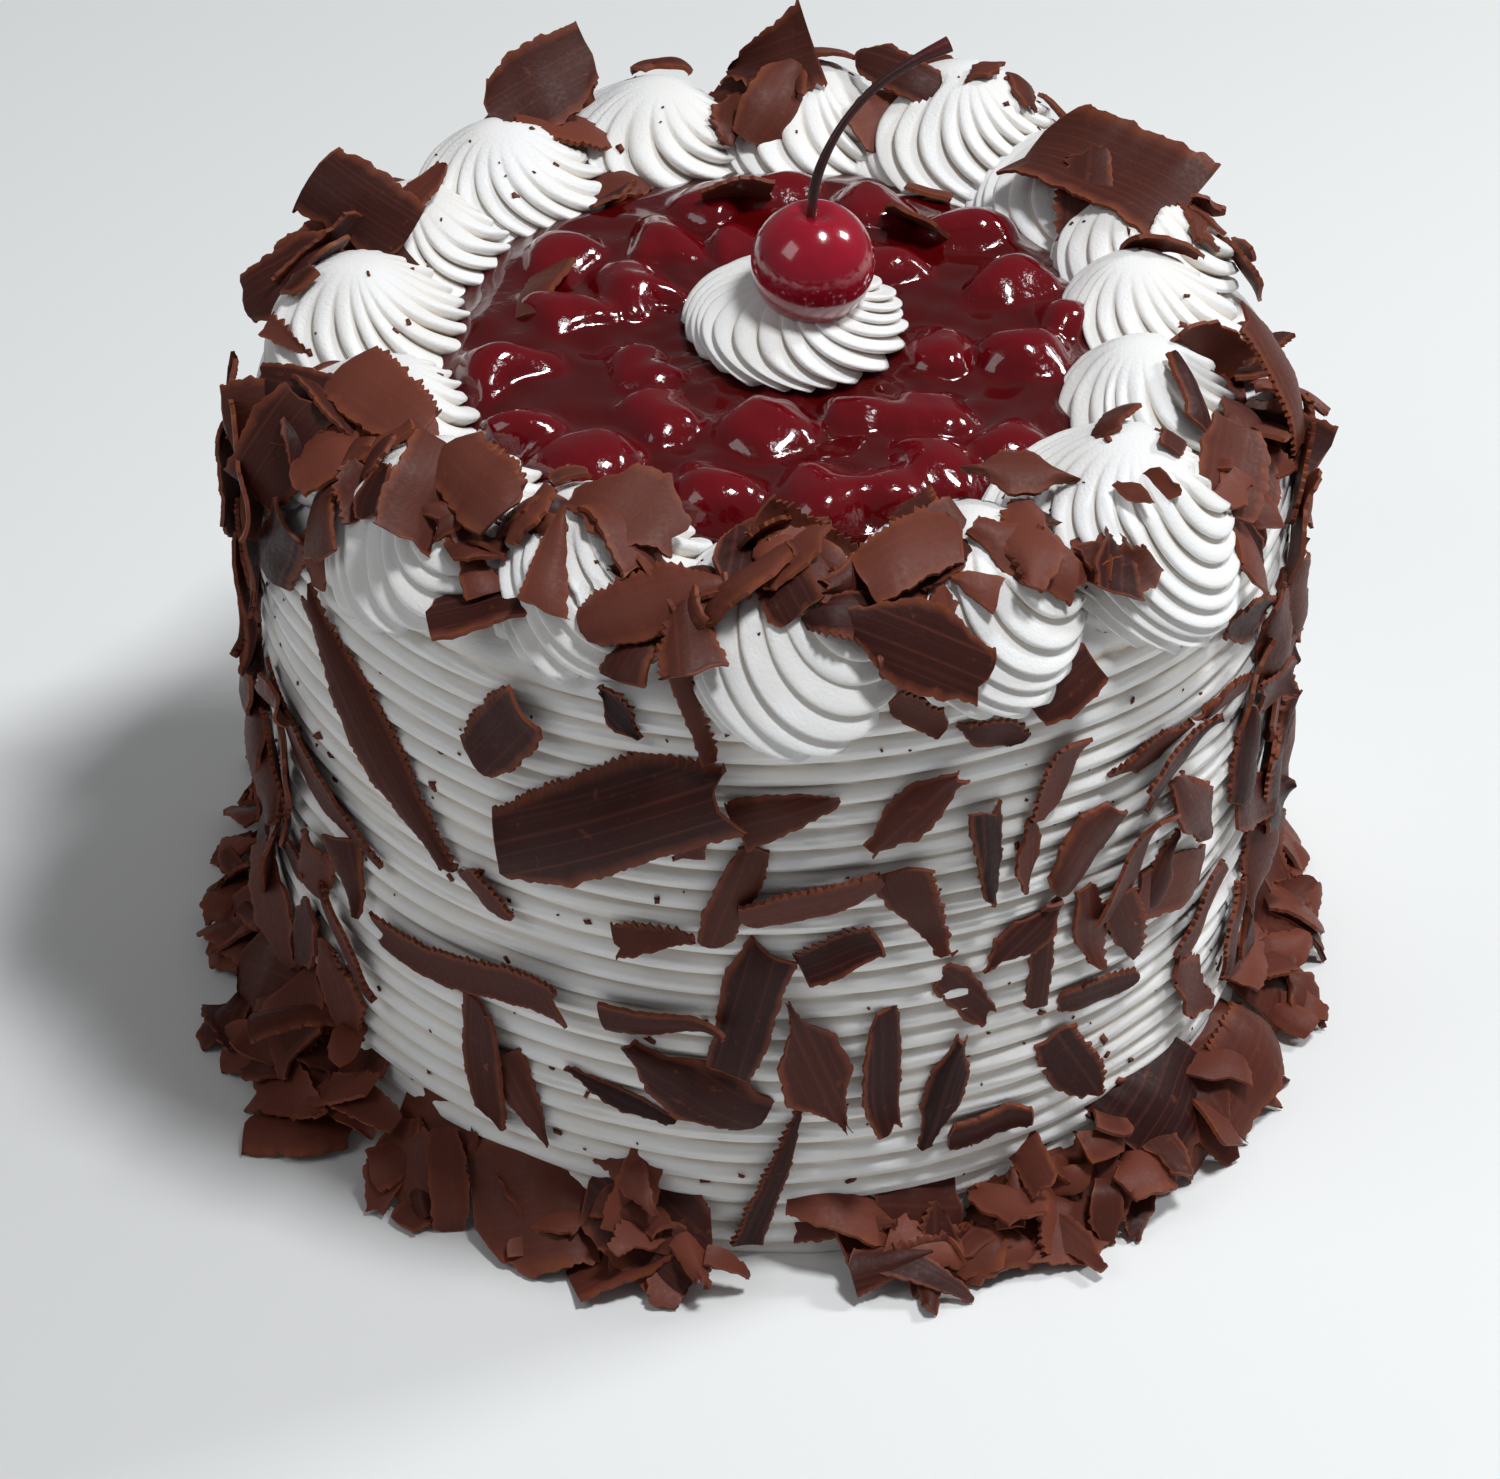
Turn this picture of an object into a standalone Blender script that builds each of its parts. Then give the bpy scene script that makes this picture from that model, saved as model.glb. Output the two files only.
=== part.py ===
"""A round cream cake with combed sides, a ring of piped rosettes, a glossy cherry
filling, a piped star with one stemmed cherry in the middle, and chocolate shavings.

Metres, +Z up. The origin is the middle of the flat base, and -Y is the front.
"""
import math
import random

import bmesh
import bpy
from mathutils import Euler, Matrix, Vector

MM = 0.001
GAP = 0.3 * MM
# How far a clearance copy stands off the piece that it is made from.
CLEARANCE = 0.7 * MM
SHARP_ANGLE = math.radians(35)

# The cake under its decoration.
BASE_RADIUS = 99.0 * MM
SIDE_RADIUS = 100.5 * MM
TOP_HEIGHT = 138.0 * MM
EDGE_ROUND = 7.0 * MM
COMB_TOP = 131.0 * MM
COMB_FOOT = 13.0 * MM
COMB_RIDGES = 23
COMB_DEPTH = 1.1 * MM
BODY_STEPS = 26

# The ring of piped rosettes: turn about the middle, distance from it, radius, height.
ROSETTES = (
    (179, 77.6, 19.5, 18), (157, 78.0, 18.5, 17), (135, 74.5, 19.5, 18), (111, 77.0, 19.0, 18),
    (88, 78.0, 19.0, 18), (65, 84.0, 21.0, 21), (44, 80.0, 19.0, 17), (25, 79.6, 18.5, 18),
    (8, 73.0, 17.5, 17), (344, 73.5, 17.5, 18), (317, 84.5, 22.0, 22), (294, 85.5, 20.5, 18),
    (272, 87.0, 21.0, 16), (249, 81.5, 19.5, 18), (226, 84.5, 20.5, 18), (203, 81.5, 19.5, 17),
)
ROSETTE_RIBS = 9
ROSETTE_RIB_DEPTH = 0.11
ROSETTE_TWIST = math.radians(62)
ROSETTE_LEVELS = 8
ROSETTE_LEAN_RIGHT = (-4.0 * MM, 4.0 * MM)
ROSETTE_LEAN_BACK = (3.0 * MM, 7.0 * MM)
ROSETTE_SEED = 100
# How a piped dome swells towards its foot, rises, and ends in a small peak.
DOME_SWELL = 0.85
DOME_RISE = 0.8
PEAK_SHARE = 0.22
PEAK_POWER = 5
SLUMP_START = 96.5 * MM
SLUMP_SLOPE = 0.75

# The cherry filling inside the ring.
FILLING_RADIUS = 65.0 * MM
FILLING_HEIGHT = 147.4 * MM
FILLING_EDGE = 144.0 * MM
FILLING_FLAT = 0.5 * FILLING_RADIUS
FILLING_SHOULDER = (0.86 * FILLING_RADIUS, FILLING_HEIGHT - 1.2 * MM)
FILLING_STEPS = 22
FILLING_SEED = 21
# Each cherry in the gel: how far right and back of the middle it lies, and its radius.
CHERRIES = (
    (-50, -16, 8.6), (-34, -45, 9.8), (-26, -15, 8.0), (-47, -36, 7.6), (-29, 13, 8.8),
    (-23, 30, 7.8), (-2, -34, 9.2), (-11, -54, 8.2), (8, -55, 8.8), (17, -29, 7.4),
    (28, -30, 7.8), (31, -6, 7.6), (47, -6, 9.4), (45, 19, 8.8), (37, 39, 8.8), (30, -45, 8.0),
    (43, -37, 7.6), (0, 50, 7.8), (-14, 46, 7.4), (-42, 24, 7.8), (56, 6, 7.0), (20, -52, 7.4),
    (-22, -30, 8.0), (-8, 29, 7.4), (18, 45, 7.6), (21, 24, 7.8), (-40, 4, 7.8),
)
CHERRY_STRETCH = (0.98, 1.14)
CHERRY_FLATNESS = 0.9
CHERRY_SINK = 0.36
CHERRY_FLOOR = 141.0 * MM
CHERRY_SEGMENTS = 7
CHERRY_LEVELS = 5
CUTTER_SIDES = 8
CUTTER_HEIGHT = 20.0 * MM
CUTTER_TAPER = 0.84

# The star in the middle, with its cherry and stem.
STAR_CENTRE = Vector((3.4, -0.4, 0.0)) * MM
STAR_RADIUS = 20.5 * MM
STAR_HEIGHT = 11.5 * MM
STAR_RIBS = 12
TOP_CHERRY_CENTRE = Vector((6.3, -3.5, 165.0)) * MM
TOP_CHERRY_RADIUS = 11.8 * MM
TOP_CHERRY_SEGMENTS = 12
TOP_CHERRY_LEVELS = 8
DIMPLE_RADIUS = 4.5 * MM
DIMPLE_DEPTH = 2.0 * MM
STEM_RADIUS = 0.9 * MM
STEM_TIP = 1.7
STEM_POINTS = (
    (5.9, -3.3, 175.9), (6.3, -2.5, 181.0), (8.4, -1.0, 187.5), (12.0, 1.4, 193.5),
    (17.2, 4.3, 198.6), (23.6, 7.2, 202.4), (30.6, 9.6, 205.2),
)

# Chocolate shavings. Thickness where they lie free and where they are pressed into cream.
SHARD_THICKNESS = 1.3 * MM
PRESSED_THICKNESS = 3.2 * MM
PRESSED_PROUD = 1.0 * MM
PRESSED_LIFT = 0.9 * MM
# How uneven a shaving's outline is, as shares of its length and width.
SHARD_SKEW = 0.22
SHARD_TAPER = (0.08, 0.8)
SHARD_RAGGED = (0.06, 0.07)
LONG_SHARD = 40.0 * MM

# Large shavings on the ring, each its own piece: turn about the middle, distance from it,
# height of its middle, length, width, spin, pitch, roll, and the angle that it curls through.
RING_SHARDS = (
    ("broad", 36, 80, 159.0, 37, 25, 20, -9, -8, 40),
    ("rear_left", 124, 86, 160.0, 27, 18, 10, -42, 8, 30),
    ("rear_mid", 92, 80, 161.5, 19, 17, 20, -66, 5, 25),
    ("rear_right", 74, 84, 158.5, 20, 9, -15, -28, 0, 50),
    ("left_rear", 166, 84, 159.5, 22, 16, 75, -12, 58, 50),
    ("left_cluster", 209, 82, 156.5, 24, 15, 15, 12, 6, 25),
    ("left_front", 232, 86, 157.5, 20, 15, -15, 18, 0, 30),
    ("front_left", 251, 80, 158.0, 23, 18, -5, 20, 6, 55),
    ("front_step", 257, 95, 149.5, 26, 12, 25, 36, -6, 35),
    ("front_roll", 271, 76, 154.5, 24, 10, -12, -8, 0, 100),
    ("front_dark", 284, 103, 146.5, 31, 17, -28, 56, 0, 35),
    ("front_mid", 286, 89, 156.5, 22, 14, 18, 18, 0, 30),
    ("leaf_upper", 305, 77, 159.0, 22, 12, -30, 16, 0, 35),
    ("leaf_lower", 299, 93, 154.0, 23, 12, -50, 34, 0, 30),
    ("right_front", 331, 96, 150.5, 24, 17, 25, 42, 0, 25),
    ("right_upright", 350, 96, 151.0, 31, 13, 84, 62, 0, 35),
)
RING_SHARD_SEED = 600

# Shavings on the side: turn, height of the middle, length, width, slant.
SIDE_SHARDS = (
    (225, 104, 60, 10, -50), (212, 80, 50, 12, -20), (195, 61, 32, 10, -22), (237, 57, 48, 11, 10),
    (239, 36, 30, 11, -88), (243, 119, 22, 12, 55), (254, 106, 52, 19, 30), (285, 110, 24, 10, 46),
    (267, 91, 25, 8, 74), (275, 90, 27, 9, 14), (286, 86, 22, 12, -65), (269, 63, 34, 12, 78),
    (263, 44, 31, 15, -33), (276, 51, 34, 16, -70), (283, 48, 29, 8, -88),
    (305, 90, 20, 12, 51), (312, 64, 20, 10, -70), (327, 52, 21, 11, 44),
    (339, 104, 26, 12, -70), (347, 84, 24, 11, 50),
)
# The unseen rear follows the same rule by a seeded draw.
REAR_SHARDS = 6
REAR_TURNS = (2, 186)
REAR_HEIGHTS = (34 * MM, 116 * MM)
REAR_LENGTHS = (18 * MM, 38 * MM)
REAR_WIDTHS = (9 * MM, 14 * MM)
REAR_SLANTS = (-80, 80)
REAR_UNEVEN = (0.2, 0.8)
SIDE_SEED = 200
REAR_SEED = 300

# Shavings heaped round the foot: each leans from the side down towards the base plane.
FOOT_GAPS = ((270, 278), (70, 76), (140, 147))
FOOT_SPACING = 15.0
FOOT_ALONG = (15 * MM, 34 * MM)
FOOT_UP = (21 * MM, 31 * MM)
FOOT_SLOPES = (24, 56)
FOOT_SPINS = (-35, 35)
FOOT_UNEVEN = (0.75, 1.25)
FOOT_SEED = 400
FOOT_SUNK = 5 * MM
FOOT_LIFT = 0.25 * MM

# Small shavings fused on: number of the rosette, turn on it, size, slant.
ROSETTE_FLAKES = (
    (0, 200, 11, 40), (1, 60, 13, 20), (3, 250, 11, 60), (5, 120, 10, 10), (6, 300, 12, 35),
    (7, 30, 12, 50), (8, 350, 13, 15), (9, 300, 11, 30), (10, 140, 9, 25), (12, 260, 12, 5),
    (14, 240, 12, 65), (15, 190, 13, 45),
)
FLAKE_HEIGHT = 0.72
FLAKE_DISTANCE = 0.5
FLAKE_WIDTH = 0.6
FLAKE_ROLL = math.radians(17)
FLAKE_SEED = 700
# Shavings on the filling: turn, distance, length, width, pitch.
FILLING_SHARDS = ((101, 46, 15, 12, 50), (53, 46, 14, 12, 42), (166, 47, 20, 8, 25))
FILLING_SHARD_LIFT = 0.38
FILLING_SHARD_CURL = math.radians(23)
FILLING_SHARD_SEED = 500


def clear_scene():
    for obj in list(bpy.data.objects):
        bpy.data.objects.remove(obj, do_unlink=True)


def new_collection(name):
    collection = bpy.data.collections.new(name)
    bpy.context.scene.collection.children.link(collection)
    return collection


def new_material(name, colour, roughness):
    material = bpy.data.materials.new(name)
    material.use_nodes = True
    material.diffuse_color = (*colour, 1.0)
    shader = material.node_tree.nodes["Principled BSDF"]
    shader.inputs["Base Color"].default_value = (*colour, 1.0)
    shader.inputs["Roughness"].default_value = roughness
    shader.inputs["Metallic"].default_value = 0.0
    return material


def add_object(name, bm, collection, material=None):
    mesh = bpy.data.meshes.new(name)
    bm.to_mesh(mesh)
    bm.free()
    obj = bpy.data.objects.new(name, mesh)
    collection.objects.link(obj)
    if material:
        mesh.materials.append(material)
    return obj


def freeze(obj):
    """Applies every modifier of an object to its mesh."""
    graph = bpy.context.evaluated_depsgraph_get()
    mesh = bpy.data.meshes.new_from_object(obj.evaluated_get(graph))
    old = obj.data
    obj.modifiers.clear()
    obj.data = mesh
    bpy.data.meshes.remove(old)


def hide_helpers(collection):
    collection.hide_render = True
    for obj in collection.objects:
        obj.hide_render = True
        obj.display_type = "WIRE"


def remove_helpers(collection):
    for obj in list(collection.objects):
        bpy.data.objects.remove(obj, do_unlink=True)


def combine(obj, collection, operation):
    """One Boolean of a whole collection, applied; the collection's objects are then removed."""
    if len(collection.objects):
        modifier = obj.modifiers.new(operation.title(), "BOOLEAN")
        modifier.operation = operation
        modifier.solver = "MANIFOLD"
        modifier.operand_type = "COLLECTION"
        modifier.collection = collection
        freeze(obj)
        remove_helpers(collection)
    keep_largest(obj)


def component_of(start):
    found = {start}
    edge = [start]
    while edge:
        vert = edge.pop()
        for link in vert.link_edges:
            other = link.other_vert(vert)
            if other not in found:
                found.add(other)
                edge.append(other)
    return found


def keep_largest(obj):
    """Drops the loose scraps that a cut leaves beside the main piece."""
    bm = bmesh.new()
    bm.from_mesh(obj.data)
    left = set(bm.verts)
    pieces = []
    while left:
        piece = component_of(next(iter(left)))
        pieces.append(piece)
        left -= piece
    pieces.sort(key=extent, reverse=True)
    for piece in pieces[1:]:
        bmesh.ops.delete(bm, geom=list(piece), context="VERTS")
    bm.to_mesh(obj.data)
    bm.free()


def extent(verts):
    spans = [max(v.co[axis] for v in verts) - min(v.co[axis] for v in verts) for axis in range(3)]
    return sum(spans)


def clearance_copy(obj, collection):
    """A slightly larger copy, which cuts away what would come too close to the piece."""
    bm = bmesh.new()
    bm.from_mesh(obj.data)
    bm.normal_update()
    for vert, normal in [(v, v.normal.copy()) for v in bm.verts]:
        vert.co += normal * CLEARANCE
    return add_object(obj.name + "_clearance", bm, collection)


def turned(name, profile, steps, collection, material):
    """A turned solid from its profile, which runs from the top down the outer side."""
    bm = bmesh.new()
    verts = [bm.verts.new((radius, 0.0, height)) for radius, height in profile]
    for upper, lower in zip(verts, verts[1:]):
        bm.edges.new((upper, lower))
    obj = add_object(name, bm, collection, material)
    screw = obj.modifiers.new("Turn", "SCREW")
    screw.steps = steps
    screw.render_steps = steps
    screw.use_merge_vertices = True
    screw.merge_threshold = 0.0001
    freeze(obj)
    return obj


def body_profile():
    """The top, its rounded edge, and the comb's ridges down the side."""
    middle = SIDE_RADIUS - EDGE_ROUND
    points = [(0.0, TOP_HEIGHT), (middle - EDGE_ROUND, TOP_HEIGHT)]
    for turn in (90, 60, 30):
        angle = math.radians(turn)
        points.append((middle + EDGE_ROUND * math.cos(angle),
                       TOP_HEIGHT - EDGE_ROUND + EDGE_ROUND * math.sin(angle)))
    pitch = (COMB_TOP - COMB_FOOT) / COMB_RIDGES
    for ridge in range(COMB_RIDGES):
        share = ridge / COMB_RIDGES
        radius = SIDE_RADIUS + (BASE_RADIUS - SIDE_RADIUS) * share
        height = COMB_TOP - pitch * ridge
        points.append((radius - COMB_DEPTH, height))
        points.append((radius + COMB_DEPTH, height - pitch / 2))
    points.append((BASE_RADIUS - COMB_DEPTH, COMB_FOOT))
    points.append((BASE_RADIUS, COMB_FOOT / 2))
    points.append((BASE_RADIUS, 0.0))
    points.append((0.0, 0.0))
    return points


def half_dome(bm, ribs, levels):
    """The upper half of a sphere of radius 1, closed below, with two meridians to a rib."""
    bmesh.ops.create_uvsphere(bm, u_segments=2 * ribs, v_segments=levels, radius=1.0)
    geometry = bm.verts[:] + bm.edges[:] + bm.faces[:]
    bmesh.ops.bisect_plane(bm, geom=geometry, plane_co=(0, 0, 0), plane_no=(0, 0, -1),
                           clear_outer=True, dist=1e-5)
    rim = [edge for edge in bm.edges if edge.is_boundary]
    bmesh.ops.contextual_create(bm, geom=rim)


def pipe_dome(bm, radius, height, ribs, depth, twist, lean):
    """Twists the half dome's meridians into piped ribs, and pulls up its peak."""
    for vert in bm.verts:
        level = max(0.0, min(1.0, vert.co.z))
        flat = math.hypot(vert.co.x, vert.co.y)
        angle = math.atan2(vert.co.y, vert.co.x)
        swell = math.cos(ribs * (angle - math.pi / 2)) * min(1.0, 3.0 * (1.0 - level))
        rib = 1.0 + depth * swell
        reach = radius * rib * flat ** DOME_SWELL
        turn = angle + twist * level
        rise = height * ((1.0 - PEAK_SHARE) * level ** DOME_RISE + PEAK_SHARE * level ** PEAK_POWER)
        vert.co = Vector((reach * math.cos(turn), reach * math.sin(turn), rise))
        vert.co += lean * level * level


def trim_between(bm, own, other, own_radius, other_radius):
    """Cuts a rosette back to the plane where it meets its neighbour, less half the gap."""
    across = other - own
    share = own_radius / (own_radius + other_radius)
    normal = across.normalized()
    meet = own + across * share - normal * (GAP / 2)
    geometry = bm.verts[:] + bm.edges[:] + bm.faces[:]
    cut = bmesh.ops.bisect_plane(bm, geom=geometry, plane_co=meet, plane_no=normal,
                                 clear_outer=True, dist=1e-7)
    rim = [item for item in cut["geom_cut"] if isinstance(item, bmesh.types.BMEdge)]
    if rim:
        bmesh.ops.contextual_create(bm, geom=rim)


def slump(bm, outward):
    """Lets a rosette hang over the cake's edge, folded along a line just inside it."""
    geometry = bm.verts[:] + bm.edges[:] + bm.faces[:]
    bmesh.ops.bisect_plane(bm, geom=geometry, plane_co=outward * SLUMP_START,
                           plane_no=outward, dist=1e-6)
    for vert in bm.verts:
        over = vert.co.dot(outward) - SLUMP_START
        vert.co.z -= SLUMP_SLOPE * max(0.0, over)


def ring_place(row):
    turn, distance, radius, _ = row
    angle = math.radians(turn)
    centre = Vector((math.cos(angle), math.sin(angle), 0.0)) * distance * MM
    return centre, radius * MM


def make_rosette(index, collection, material):
    height = ROSETTES[index][3]
    centre, radius = ring_place(ROSETTES[index])
    outward = centre.normalized()
    draw = random.Random(ROSETTE_SEED + index)
    bm = bmesh.new()
    half_dome(bm, ROSETTE_RIBS, ROSETTE_LEVELS)
    lean = Vector((draw.uniform(*ROSETTE_LEAN_RIGHT), draw.uniform(*ROSETTE_LEAN_BACK), 0.0))
    turn = draw.uniform(0, math.tau)
    lean.rotate(Matrix.Rotation(-turn, 3, "Z"))
    pipe_dome(bm, radius, height * MM, ROSETTE_RIBS, ROSETTE_RIB_DEPTH, ROSETTE_TWIST, lean)
    bmesh.ops.rotate(bm, matrix=Matrix.Rotation(turn, 3, "Z"), verts=bm.verts)
    base = Vector((centre.x, centre.y, TOP_HEIGHT + GAP))
    bmesh.ops.translate(bm, vec=base, verts=bm.verts)
    for step in (-1, 1):
        other, other_radius = ring_place(ROSETTES[(index + step) % len(ROSETTES)])
        trim_between(bm, centre, other, radius, other_radius)
    slump(bm, outward)
    return add_object("rosette_%02d" % (index + 1), bm, collection, material)


def shard_sheet(bm, length, width, curl, draw):
    """A thin curled shaving as an open sheet: long in X, curled about Y, with broken ends."""
    along = 3 if length > LONG_SHARD or curl else 2
    bmesh.ops.create_grid(bm, x_segments=along, y_segments=1, size=0.5)
    skew = draw.uniform(-SHARD_SKEW, SHARD_SKEW)
    taper = draw.uniform(*SHARD_TAPER)
    ragged_x, ragged_y = SHARD_RAGGED
    for vert in bm.verts:
        x, y = vert.co.x, vert.co.y
        narrow = 1.0 - taper * abs(x)
        x += skew * y + draw.uniform(-ragged_x, ragged_x)
        y = y * narrow + draw.uniform(-ragged_y, ragged_y)
        if curl:
            arc = length / curl
            bend = x * curl
            vert.co = Vector((arc * math.sin(bend), y * width, arc * (math.cos(bend) - 1.0)))
        else:
            vert.co = Vector((x * length, y * width, 0.0))


def thicken(obj, thickness, offset):
    solid = obj.modifiers.new("Thickness", "SOLIDIFY")
    solid.thickness = thickness
    solid.offset = offset
    freeze(obj)
    bm = bmesh.new()
    bm.from_mesh(obj.data)
    bmesh.ops.recalc_face_normals(bm, faces=bm.faces)
    bmesh.ops.triangulate(bm, faces=bm.faces)
    bm.to_mesh(obj.data)
    bm.free()


def loose_shard(name, place, length, width, curl, seed, collection, material):
    draw = random.Random(seed)
    bm = bmesh.new()
    shard_sheet(bm, length, width, curl, draw)
    bmesh.ops.transform(bm, matrix=place, verts=bm.verts)
    obj = add_object(name, bm, collection, material)
    thicken(obj, SHARD_THICKNESS, 0.0)
    return obj


def shard_place(turn, distance, height, spin, pitch, roll):
    """Where a shaving lies. Its X runs along the ring and its Y to the middle. It is spun in
    its own plane, then rolled about Y and pitched about X, which lowers its outer edge."""
    angle = math.radians(turn)
    spot = Vector((math.cos(angle) * distance, math.sin(angle) * distance, height))
    place = Matrix.Translation(spot) @ Matrix.Rotation(angle + math.pi / 2, 4, "Z")
    place = place @ Matrix.Rotation(math.radians(pitch), 4, "X")
    place = place @ Matrix.Rotation(math.radians(roll), 4, "Y")
    return place @ Matrix.Rotation(math.radians(spin), 4, "Z")


def pressed_shard(name, turn, height, length, width, slant, seed, collection):
    """A shaving pressed against the side: bent round it and sunk below the comb's troughs."""
    draw = random.Random(seed)
    bm = bmesh.new()
    shard_sheet(bm, length, width, 0.0, draw)
    bmesh.ops.rotate(bm, matrix=Matrix.Rotation(math.radians(slant), 3, "Z"), verts=bm.verts)
    share = 1.0 - height / TOP_HEIGHT
    radius = SIDE_RADIUS + (BASE_RADIUS - SIDE_RADIUS) * share + COMB_DEPTH + PRESSED_PROUD
    for vert in bm.verts:
        angle = math.radians(turn) + vert.co.x / radius
        lift = draw.uniform(0.0, PRESSED_LIFT)
        vert.co = Vector(((radius + lift) * math.cos(angle), (radius + lift) * math.sin(angle),
                          height + vert.co.y))
    bm.normal_update()
    if sum(face.normal.dot(face.calc_center_median()) for face in bm.faces) < 0:
        bmesh.ops.reverse_faces(bm, faces=bm.faces)
    obj = add_object(name, bm, collection)
    thicken(obj, PRESSED_THICKNESS, -1.0)
    return obj


def make_body(collection, helpers, material):
    body = turned("cake_body", body_profile(), BODY_STEPS, collection, material)
    for index, (turn, height, length, width, slant) in enumerate(SIDE_SHARDS):
        pressed_shard("side_%02d" % index, turn, height * MM, length * MM, width * MM, slant,
                      SIDE_SEED + index, helpers)
    draw = random.Random(REAR_SEED)
    low, high = REAR_TURNS
    for index in range(REAR_SHARDS):
        turn = low + (high - low) * (index + draw.uniform(*REAR_UNEVEN)) / REAR_SHARDS
        pressed_shard("rear_%02d" % index, turn, draw.uniform(*REAR_HEIGHTS),
                      draw.uniform(*REAR_LENGTHS), draw.uniform(*REAR_WIDTHS),
                      draw.uniform(*REAR_SLANTS), REAR_SEED + index, helpers)
    make_foot(helpers)
    hide_helpers(helpers)
    combine(body, helpers, "UNION")
    return body


def in_foot_gap(turn):
    return any(low < turn % 360 < high for low, high in FOOT_GAPS)


def make_foot(helpers):
    """Shavings that lean from the cake's side down to the base plane, in uneven heaps."""
    draw = random.Random(FOOT_SEED)
    turn = 0.0
    index = 0
    while turn < 360.0:
        if not in_foot_gap(turn):
            slope = draw.uniform(*FOOT_SLOPES)
            along = draw.uniform(*FOOT_ALONG)
            up = draw.uniform(*FOOT_UP)
            middle = BASE_RADIUS - FOOT_SUNK + up / 2 * math.cos(math.radians(slope))
            place = shard_place(turn, middle, 0.0, draw.uniform(*FOOT_SPINS), slope, 0.0)
            obj = loose_shard("foot_%02d" % index, place, along, up, 0.0, FOOT_SEED + index,
                              helpers, None)
            lowest = min(vert.co.z for vert in obj.data.vertices)
            for vert in obj.data.vertices:
                vert.co.z += FOOT_LIFT - lowest
            index += 1
        turn += FOOT_SPACING * draw.uniform(*FOOT_UNEVEN)


def foot_cutter(name, centre, foot, radius, sides, collection):
    """A plain cone round the foot of a piped piece, which gives the filling its scallops."""
    reach = (radius * (1.0 + ROSETTE_RIB_DEPTH) + GAP) / math.cos(math.pi / sides)
    bm = bmesh.new()
    bmesh.ops.create_cone(bm, cap_ends=True, segments=sides, radius1=reach,
                          radius2=reach * CUTTER_TAPER, depth=CUTTER_HEIGHT)
    seat = Vector((centre.x, centre.y, foot + CUTTER_HEIGHT / 2))
    bmesh.ops.translate(bm, vec=seat, verts=bm.verts)
    return add_object(name, bm, collection)


def add_lump(name, row, draw, collection):
    """One cherry of the filling: the part that bulges out of the gel, closed below it."""
    right, back, size = row
    radius = size * MM
    long = radius * draw.uniform(*CHERRY_STRETCH)
    bm = bmesh.new()
    bmesh.ops.create_uvsphere(bm, u_segments=CHERRY_SEGMENTS, v_segments=CHERRY_LEVELS, radius=1.0)
    bmesh.ops.scale(bm, vec=(long, radius, radius * CHERRY_FLATNESS), verts=bm.verts)
    spin = Matrix.Rotation(draw.uniform(0.0, math.pi), 3, "Z")
    bmesh.ops.rotate(bm, matrix=spin, verts=bm.verts)
    spot = Vector((right * MM, back * MM, FILLING_HEIGHT - radius * CHERRY_SINK))
    bmesh.ops.translate(bm, vec=spot, verts=bm.verts)
    for vert in bm.verts:
        vert.co.z = max(vert.co.z, CHERRY_FLOOR)
    return add_object(name, bm, collection)


def make_filling(collection, helpers, material):
    profile = [(0.0, FILLING_HEIGHT), (FILLING_FLAT, FILLING_HEIGHT), FILLING_SHOULDER,
               (FILLING_RADIUS, FILLING_EDGE), (FILLING_RADIUS, TOP_HEIGHT + GAP),
               (0.0, TOP_HEIGHT + GAP)]
    filling = turned("cherry_filling", profile, FILLING_STEPS, collection, material)
    draw = random.Random(FILLING_SEED)
    for index, row in enumerate(CHERRIES):
        add_lump("lump_%02d" % index, row, draw, helpers)
    for index, (turn, distance, length, width, pitch) in enumerate(FILLING_SHARDS):
        height = FILLING_HEIGHT + math.sin(math.radians(pitch)) * width * MM * FILLING_SHARD_LIFT
        place = shard_place(turn, distance * MM, height, 0, pitch, 0)
        loose_shard("slip_%02d" % index, place, length * MM, width * MM, FILLING_SHARD_CURL,
                    FILLING_SHARD_SEED + index, helpers, None)
    hide_helpers(helpers)
    combine(filling, helpers, "UNION")
    foot_cutter("star_foot", STAR_CENTRE, FILLING_HEIGHT - GAP / 2, STAR_RADIUS,
                2 * STAR_RIBS, helpers)
    for index, row in enumerate(ROSETTES):
        centre, radius = ring_place(row)
        foot_cutter("foot_%02d" % index, centre, TOP_HEIGHT - GAP, radius, CUTTER_SIDES, helpers)
    hide_helpers(helpers)
    combine(filling, helpers, "DIFFERENCE")
    return filling


def make_star(collection, helpers, cherry, material):
    """The piped star in the middle, hollowed a little where the cherry sits in it."""
    bm = bmesh.new()
    half_dome(bm, STAR_RIBS, ROSETTE_LEVELS)
    pipe_dome(bm, STAR_RADIUS, STAR_HEIGHT, STAR_RIBS, ROSETTE_RIB_DEPTH, ROSETTE_TWIST, Vector())
    seat = STAR_CENTRE + Vector((0.0, 0.0, FILLING_HEIGHT + GAP))
    bmesh.ops.translate(bm, vec=seat, verts=bm.verts)
    star = add_object("centre_rosette", bm, collection, material)
    clearance_copy(cherry, helpers)
    hide_helpers(helpers)
    combine(star, helpers, "DIFFERENCE")
    return star


def make_top_cherry(collection, material):
    """A round cherry with the dimple that its stem comes out of."""
    bm = bmesh.new()
    bmesh.ops.create_uvsphere(bm, u_segments=TOP_CHERRY_SEGMENTS, v_segments=TOP_CHERRY_LEVELS,
                              radius=TOP_CHERRY_RADIUS)
    for vert in bm.verts:
        flat = math.hypot(vert.co.x, vert.co.y)
        if vert.co.z > 0 and flat < DIMPLE_RADIUS:
            vert.co.z -= DIMPLE_DEPTH * (1.0 - flat / DIMPLE_RADIUS)
    bmesh.ops.translate(bm, vec=TOP_CHERRY_CENTRE, verts=bm.verts)
    return add_object("top_cherry", bm, collection, material)


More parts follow.
